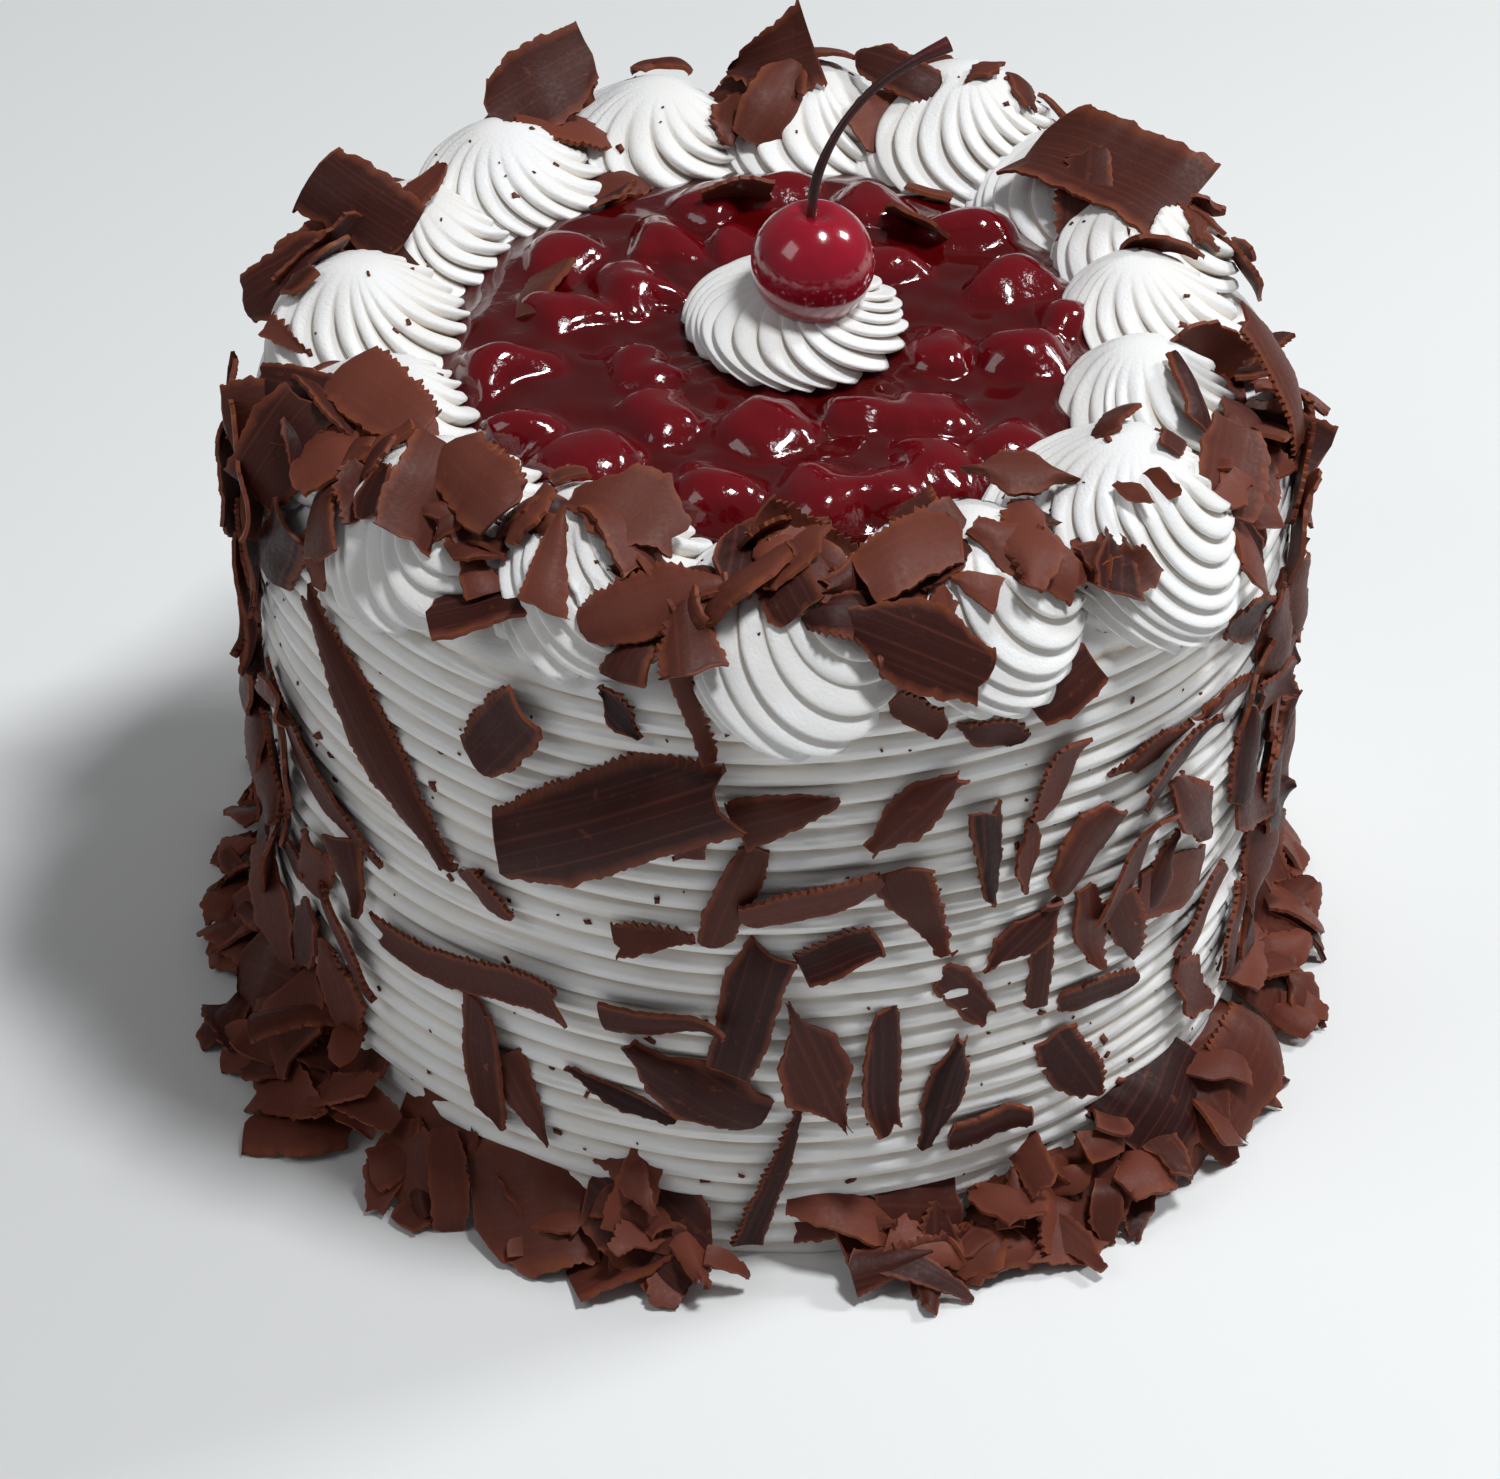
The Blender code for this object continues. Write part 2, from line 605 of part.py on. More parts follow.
def make_stem(collection, material):
    curve = bpy.data.curves.new("cherry_stem", "CURVE")
    curve.dimensions = "3D"
    curve.bevel_depth = STEM_RADIUS
    curve.bevel_resolution = 2
    curve.use_fill_caps = True
    spline = curve.splines.new("POLY")
    spline.points.add(len(STEM_POINTS) - 1)
    for point, spot in zip(spline.points, STEM_POINTS):
        point.co = (*(Vector(spot) * MM), 1.0)
    spline.points[-1].radius = STEM_TIP
    curve.materials.append(material)
    stem = bpy.data.objects.new("cherry_stem", curve)
    collection.objects.link(stem)
    return stem


def make_ring_shards(collection, helpers, neighbours, material):
    """The large shavings on the ring, each cut back to stay clear of what it lies on."""
    made = []
    for index, row in enumerate(RING_SHARDS):
        name, turn, distance, height, length, width, spin, pitch, roll, curl = row
        place = shard_place(turn, distance * MM, height * MM, spin, pitch, roll)
        shard = loose_shard("shaving_" + name, place, length * MM, width * MM, math.radians(curl),
                            RING_SHARD_SEED + index, collection, material)
        for obj in neighbours + made:
            clearance_copy(obj, helpers)
        hide_helpers(helpers)
        combine(shard, helpers, "DIFFERENCE")
        made.append(shard)
    return made


def fuse_rosette_flakes(helpers, cutters, rosettes, others):
    """Small shavings that stick out of a rosette, cut clear of the other pieces first."""
    for index, (number, turn, size, slant) in enumerate(ROSETTE_FLAKES):
        rosette = rosettes[number]
        centre, radius = ring_place(ROSETTES[number])
        height = TOP_HEIGHT + ROSETTES[number][3] * MM * FLAKE_HEIGHT
        angle = math.radians(turn)
        spot = centre + Vector((math.cos(angle), math.sin(angle), 0.0)) * radius * FLAKE_DISTANCE
        place = Matrix.Translation(Vector((spot.x, spot.y, height)))
        tilt = Euler((math.radians(slant), FLAKE_ROLL, angle), "XYZ")
        flake = loose_shard("flake_%02d" % index, place @ tilt.to_matrix().to_4x4(), size * MM,
                            size * MM * FLAKE_WIDTH, 0.0, FLAKE_SEED + index, helpers, None)
        for obj in others + [item for item in rosettes if item is not rosette]:
            clearance_copy(obj, cutters)
        hide_helpers(cutters)
        hide_helpers(helpers)
        combine(flake, cutters, "DIFFERENCE")
        combine(rosette, helpers, "UNION")


def shade(collection):
    for obj in collection.objects:
        if obj.type == "MESH":
            obj.data.shade_smooth()
            obj.data.set_sharp_from_angle(angle=SHARP_ANGLE)


def main():
    clear_scene()
    cake = new_collection("birthday_cake")
    helpers = new_collection("helpers")
    cutters = new_collection("cutters")
    cream = new_material("whipped_cream", (0.86, 0.83, 0.76), 0.55)
    gel = new_material("cherry_gel", (0.22, 0.01, 0.015), 0.12)
    cherry_red = new_material("cherry_red", (0.36, 0.008, 0.03), 0.15)
    stem_brown = new_material("stem_brown", (0.10, 0.025, 0.02), 0.4)
    chocolate = new_material("chocolate", (0.11, 0.045, 0.032), 0.5)

    body = make_body(cake, helpers, cream)
    rosettes = [make_rosette(index, cake, cream) for index in range(len(ROSETTES))]
    cherry = make_top_cherry(cake, cherry_red)
    make_star(cake, helpers, cherry, cream)
    filling = make_filling(cake, helpers, gel)
    shards = make_ring_shards(cake, helpers, [body, filling] + rosettes, chocolate)
    fuse_rosette_flakes(helpers, cutters, rosettes, [body, filling] + shards)
    make_stem(cake, stem_brown)
    hide_helpers(helpers)
    hide_helpers(cutters)
    shade(cake)


main()
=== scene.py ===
"""The looks of a round cream cake: combed sides, piped rosettes, cherry gel, one stemmed
cherry and chocolate shavings. Written as a lesson in cells. Lengths are in metres."""
# %% [markdown]
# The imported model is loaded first. It is the fixed frame that every piece here is made to fit.

# %% Load the model
import math
import random

import bmesh
import bpy
import numpy as np
from mathutils import Matrix, Vector
from mathutils.bvhtree import BVHTree


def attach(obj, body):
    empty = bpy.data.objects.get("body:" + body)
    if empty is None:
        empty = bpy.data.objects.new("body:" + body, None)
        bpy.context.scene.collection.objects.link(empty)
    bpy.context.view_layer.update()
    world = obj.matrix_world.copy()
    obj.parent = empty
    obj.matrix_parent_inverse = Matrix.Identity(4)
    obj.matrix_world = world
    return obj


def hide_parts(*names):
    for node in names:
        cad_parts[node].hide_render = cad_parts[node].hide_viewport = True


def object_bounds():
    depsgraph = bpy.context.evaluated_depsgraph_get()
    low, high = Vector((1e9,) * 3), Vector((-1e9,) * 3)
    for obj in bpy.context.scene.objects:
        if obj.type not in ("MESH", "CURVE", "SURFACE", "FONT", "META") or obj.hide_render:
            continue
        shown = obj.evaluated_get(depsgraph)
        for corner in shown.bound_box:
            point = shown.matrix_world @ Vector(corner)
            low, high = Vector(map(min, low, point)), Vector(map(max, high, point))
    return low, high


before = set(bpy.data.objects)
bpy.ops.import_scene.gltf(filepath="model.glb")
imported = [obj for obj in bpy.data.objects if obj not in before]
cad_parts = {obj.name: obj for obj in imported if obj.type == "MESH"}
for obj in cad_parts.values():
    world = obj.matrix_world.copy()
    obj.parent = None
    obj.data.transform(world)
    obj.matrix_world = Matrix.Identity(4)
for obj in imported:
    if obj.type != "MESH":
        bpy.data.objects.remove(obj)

MM = 0.001
NODES = sorted(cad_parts)
CAD_LOW, CAD_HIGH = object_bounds()
print("nodes:", len(NODES), " box:", [round(v, 4) for v in CAD_HIGH - CAD_LOW])

# %% [markdown]
# The camera stands where the picture was taken from: about a metre away, looking down on the cake
# by 37.6 degrees, and turned by a degree and a half about its own line of sight. Its place is
# worked out from that distance and that angle, so each stays a plain number.

# %% Camera
LOOK_AT = Vector((-0.0032, 0.0, 0.04845))
CAMERA_DISTANCE = 0.9897
CAMERA_HEIGHT_ANGLE = math.radians(37.6)
CAMERA_ROLL = math.radians(1.42)
CAMERA_LENS = 116.7
SENSOR_WIDTH = 36.0

camera_data = bpy.data.cameras.new("camera")
camera_data.lens = CAMERA_LENS
camera_data.sensor_width = SENSOR_WIDTH
camera_data.sensor_fit = "HORIZONTAL"
camera = bpy.data.objects.new("camera", camera_data)
bpy.context.scene.collection.objects.link(camera)
towards_camera = Vector((0.0, -math.cos(CAMERA_HEIGHT_ANGLE), math.sin(CAMERA_HEIGHT_ANGLE)))
camera.matrix_world = (Matrix.Translation(LOOK_AT + towards_camera * CAMERA_DISTANCE)
                       @ towards_camera.to_track_quat("Z", "Y").to_matrix().to_4x4()
                       @ Matrix.Rotation(CAMERA_ROLL, 4, "Z"))
bpy.context.scene.camera = camera
print("camera at", [round(v, 3) for v in camera.matrix_world.translation])

# %% [markdown]
# A pale floor and soft lamps, as in a product studio. Cream is white on white, so its ridges
# only read if one side of each is darker. The main lamp is small and high in front on the right,
# where the bright spots on the round cherry put it, a second one stands on the right behind the
# cake, and a wide weak one opens the left. The sky is dim, or the gel would mirror it and go grey.

# %% Floor and light
scene = bpy.context.scene
scene.view_settings.view_transform = "Standard"
scene.view_settings.look = "None"

world = bpy.data.worlds.new("studio")
world.use_nodes = True
WORLD_COLOUR = (0.95, 0.97, 1.0, 1.0)
WORLD_STRENGTH = 0.13
world.node_tree.nodes["Background"].inputs["Color"].default_value = WORLD_COLOUR
world.node_tree.nodes["Background"].inputs["Strength"].default_value = WORLD_STRENGTH
scene.world = world

# Each lamp: name, place, width, watts, colour.
LAMPS = (
    ("key_lamp", (0.40, -0.18, 1.34), 0.22, 11.6, (0.95, 0.98, 1.0)),
    ("right_lamp", (1.00, 0.38, 0.95), 0.22, 7.0, (0.95, 0.98, 1.0)),
    ("left_lamp", (-0.95, -0.50, 1.00), 0.6, 2.4, (0.94, 0.97, 1.0)),
)
for name, place, width, watts, colour in LAMPS:
    lamp = bpy.data.lights.new(name, "AREA")
    lamp.size = width
    lamp.energy = watts
    lamp.color = colour
    holder = bpy.data.objects.new(name, lamp)
    scene.collection.objects.link(holder)
    aim = (Vector(place) - LOOK_AT).to_track_quat("Z", "Y")
    holder.matrix_world = Matrix.Translation(place) @ aim.to_matrix().to_4x4()

FLOOR_SIZE = 6.0
bm = bmesh.new()
bmesh.ops.create_grid(bm, x_segments=1, y_segments=1, size=FLOOR_SIZE / 2)
mesh = bpy.data.meshes.new("floor")
bm.to_mesh(mesh)
bm.free()
floor = bpy.data.objects.new("floor", mesh)
scene.collection.objects.link(floor)
floor_paint = bpy.data.materials.new("floor_paint")
floor_paint.use_nodes = True
floor_shader = floor_paint.node_tree.nodes["Principled BSDF"]
floor_shader.inputs["Base Color"].default_value = (0.9, 0.9, 0.89, 1.0)
floor_shader.inputs["Roughness"].default_value = 0.7
mesh.materials.append(floor_paint)
print("lamps:", len(LAMPS))

# %% [markdown]
# Cream, gel and chocolate all have some fine unevenness of colour and of height. One shader
# group makes both, and each material says how coarse its own is. It reads Object coordinates,
# because every piece keeps its place in its mesh, so the grain has one scale on all of them.

# %% Shared grain group
# How sharply a fleck ends.
FLECK_EDGE = 12.0


def add_node(tree, kind, sockets=(), **settings):
    node = tree.nodes.new("ShaderNode" + kind)
    for name, value in settings.items():
        setattr(node, name, value)
    for socket, value in sockets:
        node.inputs[socket].default_value = value
    return node


def grain_group():
    group = bpy.data.node_groups.new("fine_grain", "ShaderNodeTree")
    face = group.interface
    for name, value in (("Grain per metre", 900.0), ("Fleck per metre", 300.0),
                        ("Fleck cover", 0.4)):
        socket = face.new_socket(name, in_out="INPUT", socket_type="NodeSocketFloat")
        socket.default_value = value
    for name in ("Height", "Cloud", "Flecks"):
        face.new_socket(name, in_out="OUTPUT", socket_type="NodeSocketFloat")
    given = group.nodes.new("NodeGroupInput")
    out = group.nodes.new("NodeGroupOutput")
    place = add_node(group, "TexCoord")
    fine = add_node(group, "TexNoise", (("Detail", 4.0),))
    cloud = add_node(group, "TexNoise", (("Detail", 2.0),))
    edge = add_node(group, "Math", operation="SUBTRACT")
    sharp = add_node(group, "Math", ((1, FLECK_EDGE),), operation="MULTIPLY", use_clamp=True)
    for start, end in ((place.outputs["Object"], fine.inputs["Vector"]),
                       (place.outputs["Object"], cloud.inputs["Vector"]),
                       (given.outputs["Grain per metre"], fine.inputs["Scale"]),
                       (given.outputs["Fleck per metre"], cloud.inputs["Scale"]),
                       (cloud.outputs["Fac"], edge.inputs[0]),
                       (given.outputs["Fleck cover"], edge.inputs[1]),
                       (edge.outputs[0], sharp.inputs[0]),
                       (fine.outputs["Fac"], out.inputs["Height"]),
                       (cloud.outputs["Fac"], out.inputs["Cloud"]),
                       (sharp.outputs[0], out.inputs["Flecks"])):
        group.links.new(start, end)
    return group


GRAIN = grain_group()
print("shared group:", GRAIN.name)

# %% [markdown]
# A material here is a Principled shader whose colour is mixed from two or three plain colours.
# What mixes them is either the grain group or an attribute that the mesh carries, such as how
# deep a point lies in a furrow of the cream, which paints shade there, or how near it is to a
# broken edge of chocolate.
# A few small helpers keep each recipe short.

# %% Material helpers
def start_material(name, roughness, specular, more=()):
    material = bpy.data.materials.new(name)
    material.use_nodes = True
    shader = material.node_tree.nodes["Principled BSDF"]
    for socket, value in (("Roughness", roughness), ("Specular IOR Level", specular), *more):
        shader.inputs[socket].default_value = value
    return material, material.node_tree, shader


def add_grain(tree, grain, fleck, cover):
    return add_node(tree, "Group", (("Grain per metre", grain), ("Fleck per metre", fleck),
                                    ("Fleck cover", cover)), node_tree=GRAIN)


def mix_colour(tree, mask, under, over):
    """Lays one colour over another by a mask; a colour is three numbers or a socket."""
    node = add_node(tree, "Mix", data_type="RGBA")
    tree.links.new(mask, node.inputs["Factor"])
    for value, socket in ((under, node.inputs["A"]), (over, node.inputs["B"])):
        if isinstance(value, tuple):
            socket.default_value = (*value, 1.0)
        else:
            tree.links.new(value, socket)
    return node.outputs["Result"]


def scaled(tree, socket, factor, shift=0.0):
    node = add_node(tree, "Math", ((1, factor), (2, shift)), operation="MULTIPLY_ADD",
                    use_clamp=True)
    tree.links.new(socket, node.inputs[0])
    return node.outputs[0]


def read_attribute(tree, name):
    return add_node(tree, "Attribute", attribute_name=name).outputs["Fac"]


def add_bump(tree, shader, height, strength, distance):
    node = add_node(tree, "Bump", (("Strength", strength), ("Distance", distance)))
    tree.links.new(height, node.inputs["Height"])
    tree.links.new(node.outputs["Normal"], shader.inputs["Normal"])


# %% [markdown]
# Whipped cream is a warm white that light enters a little way, which softens its shadows.
# In the furrows its colour is painted darker and yellower, which is painted shade.

# %% Cream
CREAM_CREST = (0.90, 0.89, 0.885)
# Painted shade: the darker, yellower colour laid into the furrows of the cream.
CREAM_FURROW_SHADE = (0.60, 0.49, 0.35)
CREAM_CLOUD = (0.82, 0.79, 0.74)
CREAM_GLOW = 0.1
CREAM_GLOW_DEPTH = 0.0015


def make_cream():
    glow = (("Subsurface Weight", CREAM_GLOW), ("Subsurface Radius", (1.0, 0.8, 0.55)),
            ("Subsurface Scale", CREAM_GLOW_DEPTH))
    material, tree, shader = start_material("whipped_cream", 0.5, 0.35, glow)
    grain = add_grain(tree, 1500.0, 70.0, 0.5)
    cloudy = mix_colour(tree, scaled(tree, grain.outputs["Cloud"], 1.6, -0.5),
                        CREAM_CREST, CREAM_CLOUD)
    # Painted shade: the furrow colour is laid in by how deep a point lies in a furrow.
    furrow = scaled(tree, read_attribute(tree, "furrow"), 0.8)
    colour = mix_colour(tree, furrow, cloudy, CREAM_FURROW_SHADE)
    tree.links.new(colour, shader.inputs["Base Color"])
    tree.links.new(scaled(tree, grain.outputs["Cloud"], 0.3, 0.33), shader.inputs["Roughness"])
    add_bump(tree, shader, grain.outputs["Height"], 0.35, 0.0004)
    return material


CREAM = make_cream()
print("cream:", CREAM.name)

# %% [markdown]
# Each chocolate shaving has a satin face of its own brown, with faint marks along the way it was
# planed, and a rough rusty edge where it broke. The mesh tells the material all of it: "rim" is
# 1 along a broken edge, "tone" is one number for the whole shaving, dark to light, and "across"
# is how far a point lies across it, which draws the planing marks. In the heap round the foot,
# "tone" also holds painted light: chips are lighter the higher they lie.

# %% Chocolate
CHOCOLATE_DARK = (0.016, 0.0034, 0.0038)
CHOCOLATE_LIGHT = (0.175, 0.046, 0.028)
CHOCOLATE_RIM = (0.22, 0.058, 0.022)
MARKS_PER_METRE = 900.0


def make_chocolate():
    material, tree, shader = start_material("chocolate_shavings", 0.42, 0.16)
    grain = add_grain(tree, 1100.0, 420.0, 0.66)
    marks = add_node(tree, "TexNoise", (("Scale", MARKS_PER_METRE),), noise_dimensions="1D")
    tree.links.new(read_attribute(tree, "across"), marks.inputs["W"])
    face = mix_colour(tree, read_attribute(tree, "tone"), CHOCOLATE_DARK, CHOCOLATE_LIGHT)
    marked = mix_colour(tree, scaled(tree, marks.outputs["Fac"], 1.0, -0.5), face, CHOCOLATE_LIGHT)
    specked = mix_colour(tree, scaled(tree, grain.outputs["Flecks"], 0.3), marked, CHOCOLATE_RIM)
    broken = scaled(tree, grain.outputs["Cloud"], 4.0, -1.55)
    rust = mix_colour(tree, broken, CHOCOLATE_LIGHT, CHOCOLATE_RIM)
    rim = scaled(tree, read_attribute(tree, "rim"), 0.9)
    tree.links.new(mix_colour(tree, rim, specked, rust), shader.inputs["Base Color"])
    tree.links.new(scaled(tree, grain.outputs["Height"], 0.4, 0.3), shader.inputs["Roughness"])
    add_bump(tree, shader, grain.outputs["Height"], 0.25, 0.0003)
    return material


CHOCOLATE = make_chocolate()
print("chocolate:", CHOCOLATE.name)

# %% [markdown]
# Cherry gel is a clear dark red jelly over brighter cherries. It is drawn as one solid colour
# that grows brighter where a cherry lies near the surface, under a glossy coat. The mesh gives
# that nearness as the attribute "cherry".

# %% Gel, cherry and stem
GEL_DEEP = (0.069, 0.0010, 0.0014)
GEL_CHERRY = (0.145, 0.0018, 0.0055)
SKIN = (0.34, 0.0035, 0.020)
SKIN_DARK = (0.12, 0.0015, 0.005)
STALK = (0.035, 0.008, 0.007)
STALK_RED = (0.12, 0.012, 0.012)


def make_gel():
    gloss = (("Coat Weight", 1.0), ("Coat Roughness", 0.03))
    material, tree, shader = start_material("cherry_gel", 0.14, 0.15, gloss)
    grain = add_grain(tree, 260.0, 130.0, 0.5)
    near = read_attribute(tree, "cherry")
    red = mix_colour(tree, scaled(tree, grain.outputs["Cloud"], 1.5, -0.45), GEL_CHERRY, SKIN_DARK)
    tree.links.new(mix_colour(tree, near, GEL_DEEP, red), shader.inputs["Base Color"])
    add_bump(tree, shader, grain.outputs["Height"], 0.35, 0.0014)
    return material


def make_skin():
    gloss = (("Coat Weight", 0.8), ("Coat Roughness", 0.05), ("Subsurface Weight", 0.15),
             ("Subsurface Radius", (1.0, 0.2, 0.2)), ("Subsurface Scale", 0.002))
    material, tree, shader = start_material("cherry_skin", 0.16, 0.5, gloss)
    grain = add_grain(tree, 700.0, 160.0, 0.5)
    colour = mix_colour(tree, scaled(tree, grain.outputs["Cloud"], 1.0, -0.4), SKIN, SKIN_DARK)
    tree.links.new(colour, shader.inputs["Base Color"])
    add_bump(tree, shader, grain.outputs["Height"], 0.1, 0.0004)
    return material


def make_stalk():
    material, tree, shader = start_material("stem_bark", 0.4, 0.5)
    grain = add_grain(tree, 1200.0, 260.0, 0.5)
    tree.links.new(mix_colour(tree, read_attribute(tree, "ends"), STALK, STALK_RED),
                   shader.inputs["Base Color"])
    add_bump(tree, shader, grain.outputs["Height"], 0.3, 0.0003)
    return material


GEL = make_gel()
CHERRY_SKIN = make_skin()
STEM_BARK = make_stalk()
print("glossy materials:", GEL.name, CHERRY_SKIN.name, STEM_BARK.name)

# %% [markdown]
# Handmade food is uneven everywhere, but never jagged: the unevenness is slow. A sum of a few
# seeded sine waves gives such a slow wobble. It closes on itself round the cake, because each
# wave goes round a whole number of times. Finished pieces all go through one function, which
# names them, hides the parts of the model that they replace and smooths their shading.

# %% Wobble, and finishing a piece
def slow_wobble(seed, most_turns, per_metre, waves=12):
    draw = random.Random(seed)
    rows = [(draw.randint(1, most_turns), draw.uniform(-per_metre, per_metre),
             draw.uniform(0.0, math.tau)) for _ in range(waves)]

    def wobble(angle, along):
        total = 0.0
        for turns, climb, phase in rows:
            total = total + np.sin(turns * angle + climb * along + phase)
        return total / math.sqrt(waves)

    return wobble


def finish_piece(name, bm, material, nodes, sharp=None):
    mesh = bpy.data.meshes.new(name)
    bm.to_mesh(mesh)
    bm.free()
    mesh.materials.append(material)
    mesh.shade_smooth()
    if sharp:
        mesh.set_sharp_from_angle(angle=math.radians(sharp))
    piece = bpy.data.objects.new(name, mesh)
    bpy.context.scene.collection.objects.link(piece)
    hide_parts(*nodes)
    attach(piece, "root")
    print(name, "faces:", len(mesh.polygons))
    return piece


def points_of(mesh):
    points = np.empty(len(mesh.vertices) * 3)
    mesh.vertices.foreach_get("co", points)
    return points.reshape(-1, 3)


def add_values(mesh, name, values):
    layer = mesh.attributes.new(name, "FLOAT", "POINT")
    layer.data.foreach_set("value", np.asarray(values, dtype=np.float32))


# %% [markdown]
# The side was combed while the cake turned: a toothed scraper left about two dozen ridges.
# Their crests are round and the furrows between them narrow. They wander a little up and down,
# some carry a finer line, and all keep the height and depth of the solid's own ridges. One
# function gives the side's radius at any turn and height, so that the shavings can sit on it.

# %% The combed side as a formula
TOP_HEIGHT = 138.0 * MM
BASE_RADIUS = 99.0 * MM
SIDE_RADIUS = 100.5 * MM
COMB_TOP = 131.0 * MM
COMB_FOOT = 13.0 * MM
COMB_RIDGES = 23
COMB_PITCH = (COMB_TOP - COMB_FOOT) / COMB_RIDGES
COMB_DEPTH = 1.25 * MM
RIDGE_WANDER = 1.2 * MM
FINE_LINE = 0.5 * MM
CREST_ROUND = 0.5
SIDE_SWELL = 0.45 * MM
ridge_wander = slow_wobble(11, 7, 60.0)
fine_share = slow_wobble(12, 16, 160.0)
side_swell = slow_wobble(13, 6, 50.0)
ridge_height = slow_wobble(14, 24, 500.0)


def comb_at(angle, height):
    """How far the comb's relief stands out, from -1 in a furrow to 1 on a crest."""
    ridge = (COMB_TOP - height + RIDGE_WANDER * ridge_wander(angle, height)) / COMB_PITCH
    crest = np.abs(np.sin(math.pi * ridge)) ** CREST_ROUND * 2.0 - 1.0
    return crest * (0.85 + 0.26 * ridge_height(angle, height)), ridge


def side_radius(angle, height):
    share = 1.0 - height / TOP_HEIGHT
    mean = SIDE_RADIUS + (BASE_RADIUS - SIDE_RADIUS) * share
    crest, ridge = comb_at(angle, height)
    fine = np.abs(np.sin(math.pi * (3.0 * ridge + 0.35 * fine_share(angle, height)))) ** 0.6 - 0.75
    fine = fine * np.clip(0.7 + 0.6 * fine_share(height * 90.0, angle * SIDE_RADIUS), 0.1, 1.3)
    return mean + COMB_DEPTH * crest + FINE_LINE * fine + SIDE_SWELL * side_swell(angle, height)


print("side at the front, mid height:", round(float(side_radius(-math.pi / 2, 0.07)) / MM, 2), "mm")

# %% [markdown]
# The body is a turned form: an outline is spun about the upright axis. Its side is then a plain
# wall with many rows, and the formula moves every point of it to its radius. The rows follow the
# ridges, so no face is wasted.

# %% Cake body
ROUND_EDGE = 7.0 * MM
SIDE_ROWS_APART = 0.5 * MM
BODY_STEPS = 320


def spin_outline(bm, outline, steps):
    verts = [bm.verts.new((radius, 0.0, height)) for radius, height in outline]
    edges = [bm.edges.new(pair) for pair in zip(verts, verts[1:])]
    bmesh.ops.spin(bm, geom=verts + edges, cent=(0, 0, 0), axis=(0, 0, 1), dvec=(0, 0, 0),
                   angle=math.tau, steps=steps, use_merge=True, use_duplicate=False)
    bmesh.ops.remove_doubles(bm, verts=bm.verts, dist=1e-6)
    bmesh.ops.recalc_face_normals(bm, faces=bm.faces)


def body_outline():
    inner = SIDE_RADIUS - ROUND_EDGE
    outline = [(0.0, TOP_HEIGHT), (0.45 * inner, TOP_HEIGHT), (inner, TOP_HEIGHT)]
    for turn in range(75, 0, -15):
        angle = math.radians(turn)
        outline.append((inner + ROUND_EDGE * math.cos(angle),
                        COMB_TOP + ROUND_EDGE * math.sin(angle)))
    rows = round(COMB_TOP / SIDE_ROWS_APART)
    outline += [(SIDE_RADIUS, COMB_TOP * (1.0 - row / rows)) for row in range(rows + 1)]
    return outline + [(0.0, 0.0)]


def make_body():
    bm = bmesh.new()
    spin_outline(bm, body_outline(), BODY_STEPS)
    piece = finish_piece("combed_cream", bm, CREAM, ["cake_body"])
    points = points_of(piece.data)
    angle = np.arctan2(points[:, 1], points[:, 0])
    height = points[:, 2]
    flat = np.hypot(points[:, 0], points[:, 1])
    wall = (flat > SIDE_RADIUS - 0.5 * ROUND_EDGE) & (height <= COMB_TOP + 1e-6)
    wanted = np.where(wall, side_radius(angle, height), flat)
    crest, _ = comb_at(angle, height)
    turn = np.maximum(flat, 1e-9)
    points[:, 0] *= wanted / turn
    points[:, 1] *= wanted / turn
    piece.data.vertices.foreach_set("co", points.ravel())
    # Painted shade: the furrow attribute grows towards the bottom of each furrow of the comb.
    add_values(piece.data, "furrow", np.where(wall, np.clip(0.45 - crest, 0.0, 1.0), 0.0))
    return piece


body_piece = make_body()

# %% [markdown]
# A rosette is piped through a star tip that circles and then lifts off: its ribs rise from a
# ruffled foot and wind inwards to a small peak that leans where the bag was pulled away. It
# starts as half a sphere. Its meridians become the ribs, and turning each level a little more
# than the one below winds them. Crests are round and furrows sharp, as a tip's teeth leave them.

# %% Piping a rosette
RIB_DEPTH = 0.085
FOLD_LEAN = 0.72
RIB_POINTS = 8
DOME_LEVELS = 36
DOME_SWELL = 0.85
DOME_RISE = 0.8
PEAK_SHARE = 0.22
PEAK_POWER = 5


def half_sphere(bm, around, levels):
    bmesh.ops.create_uvsphere(bm, u_segments=around, v_segments=2 * levels, radius=1.0)
    geometry = bm.verts[:] + bm.edges[:] + bm.faces[:]
    bmesh.ops.bisect_plane(bm, geom=geometry, plane_co=(0, 0, 0), plane_no=(0, 0, -1),
                           clear_outer=True, dist=1e-5)
    rim = [edge for edge in bm.edges if edge.is_boundary]
    bmesh.ops.contextual_create(bm, geom=rim)


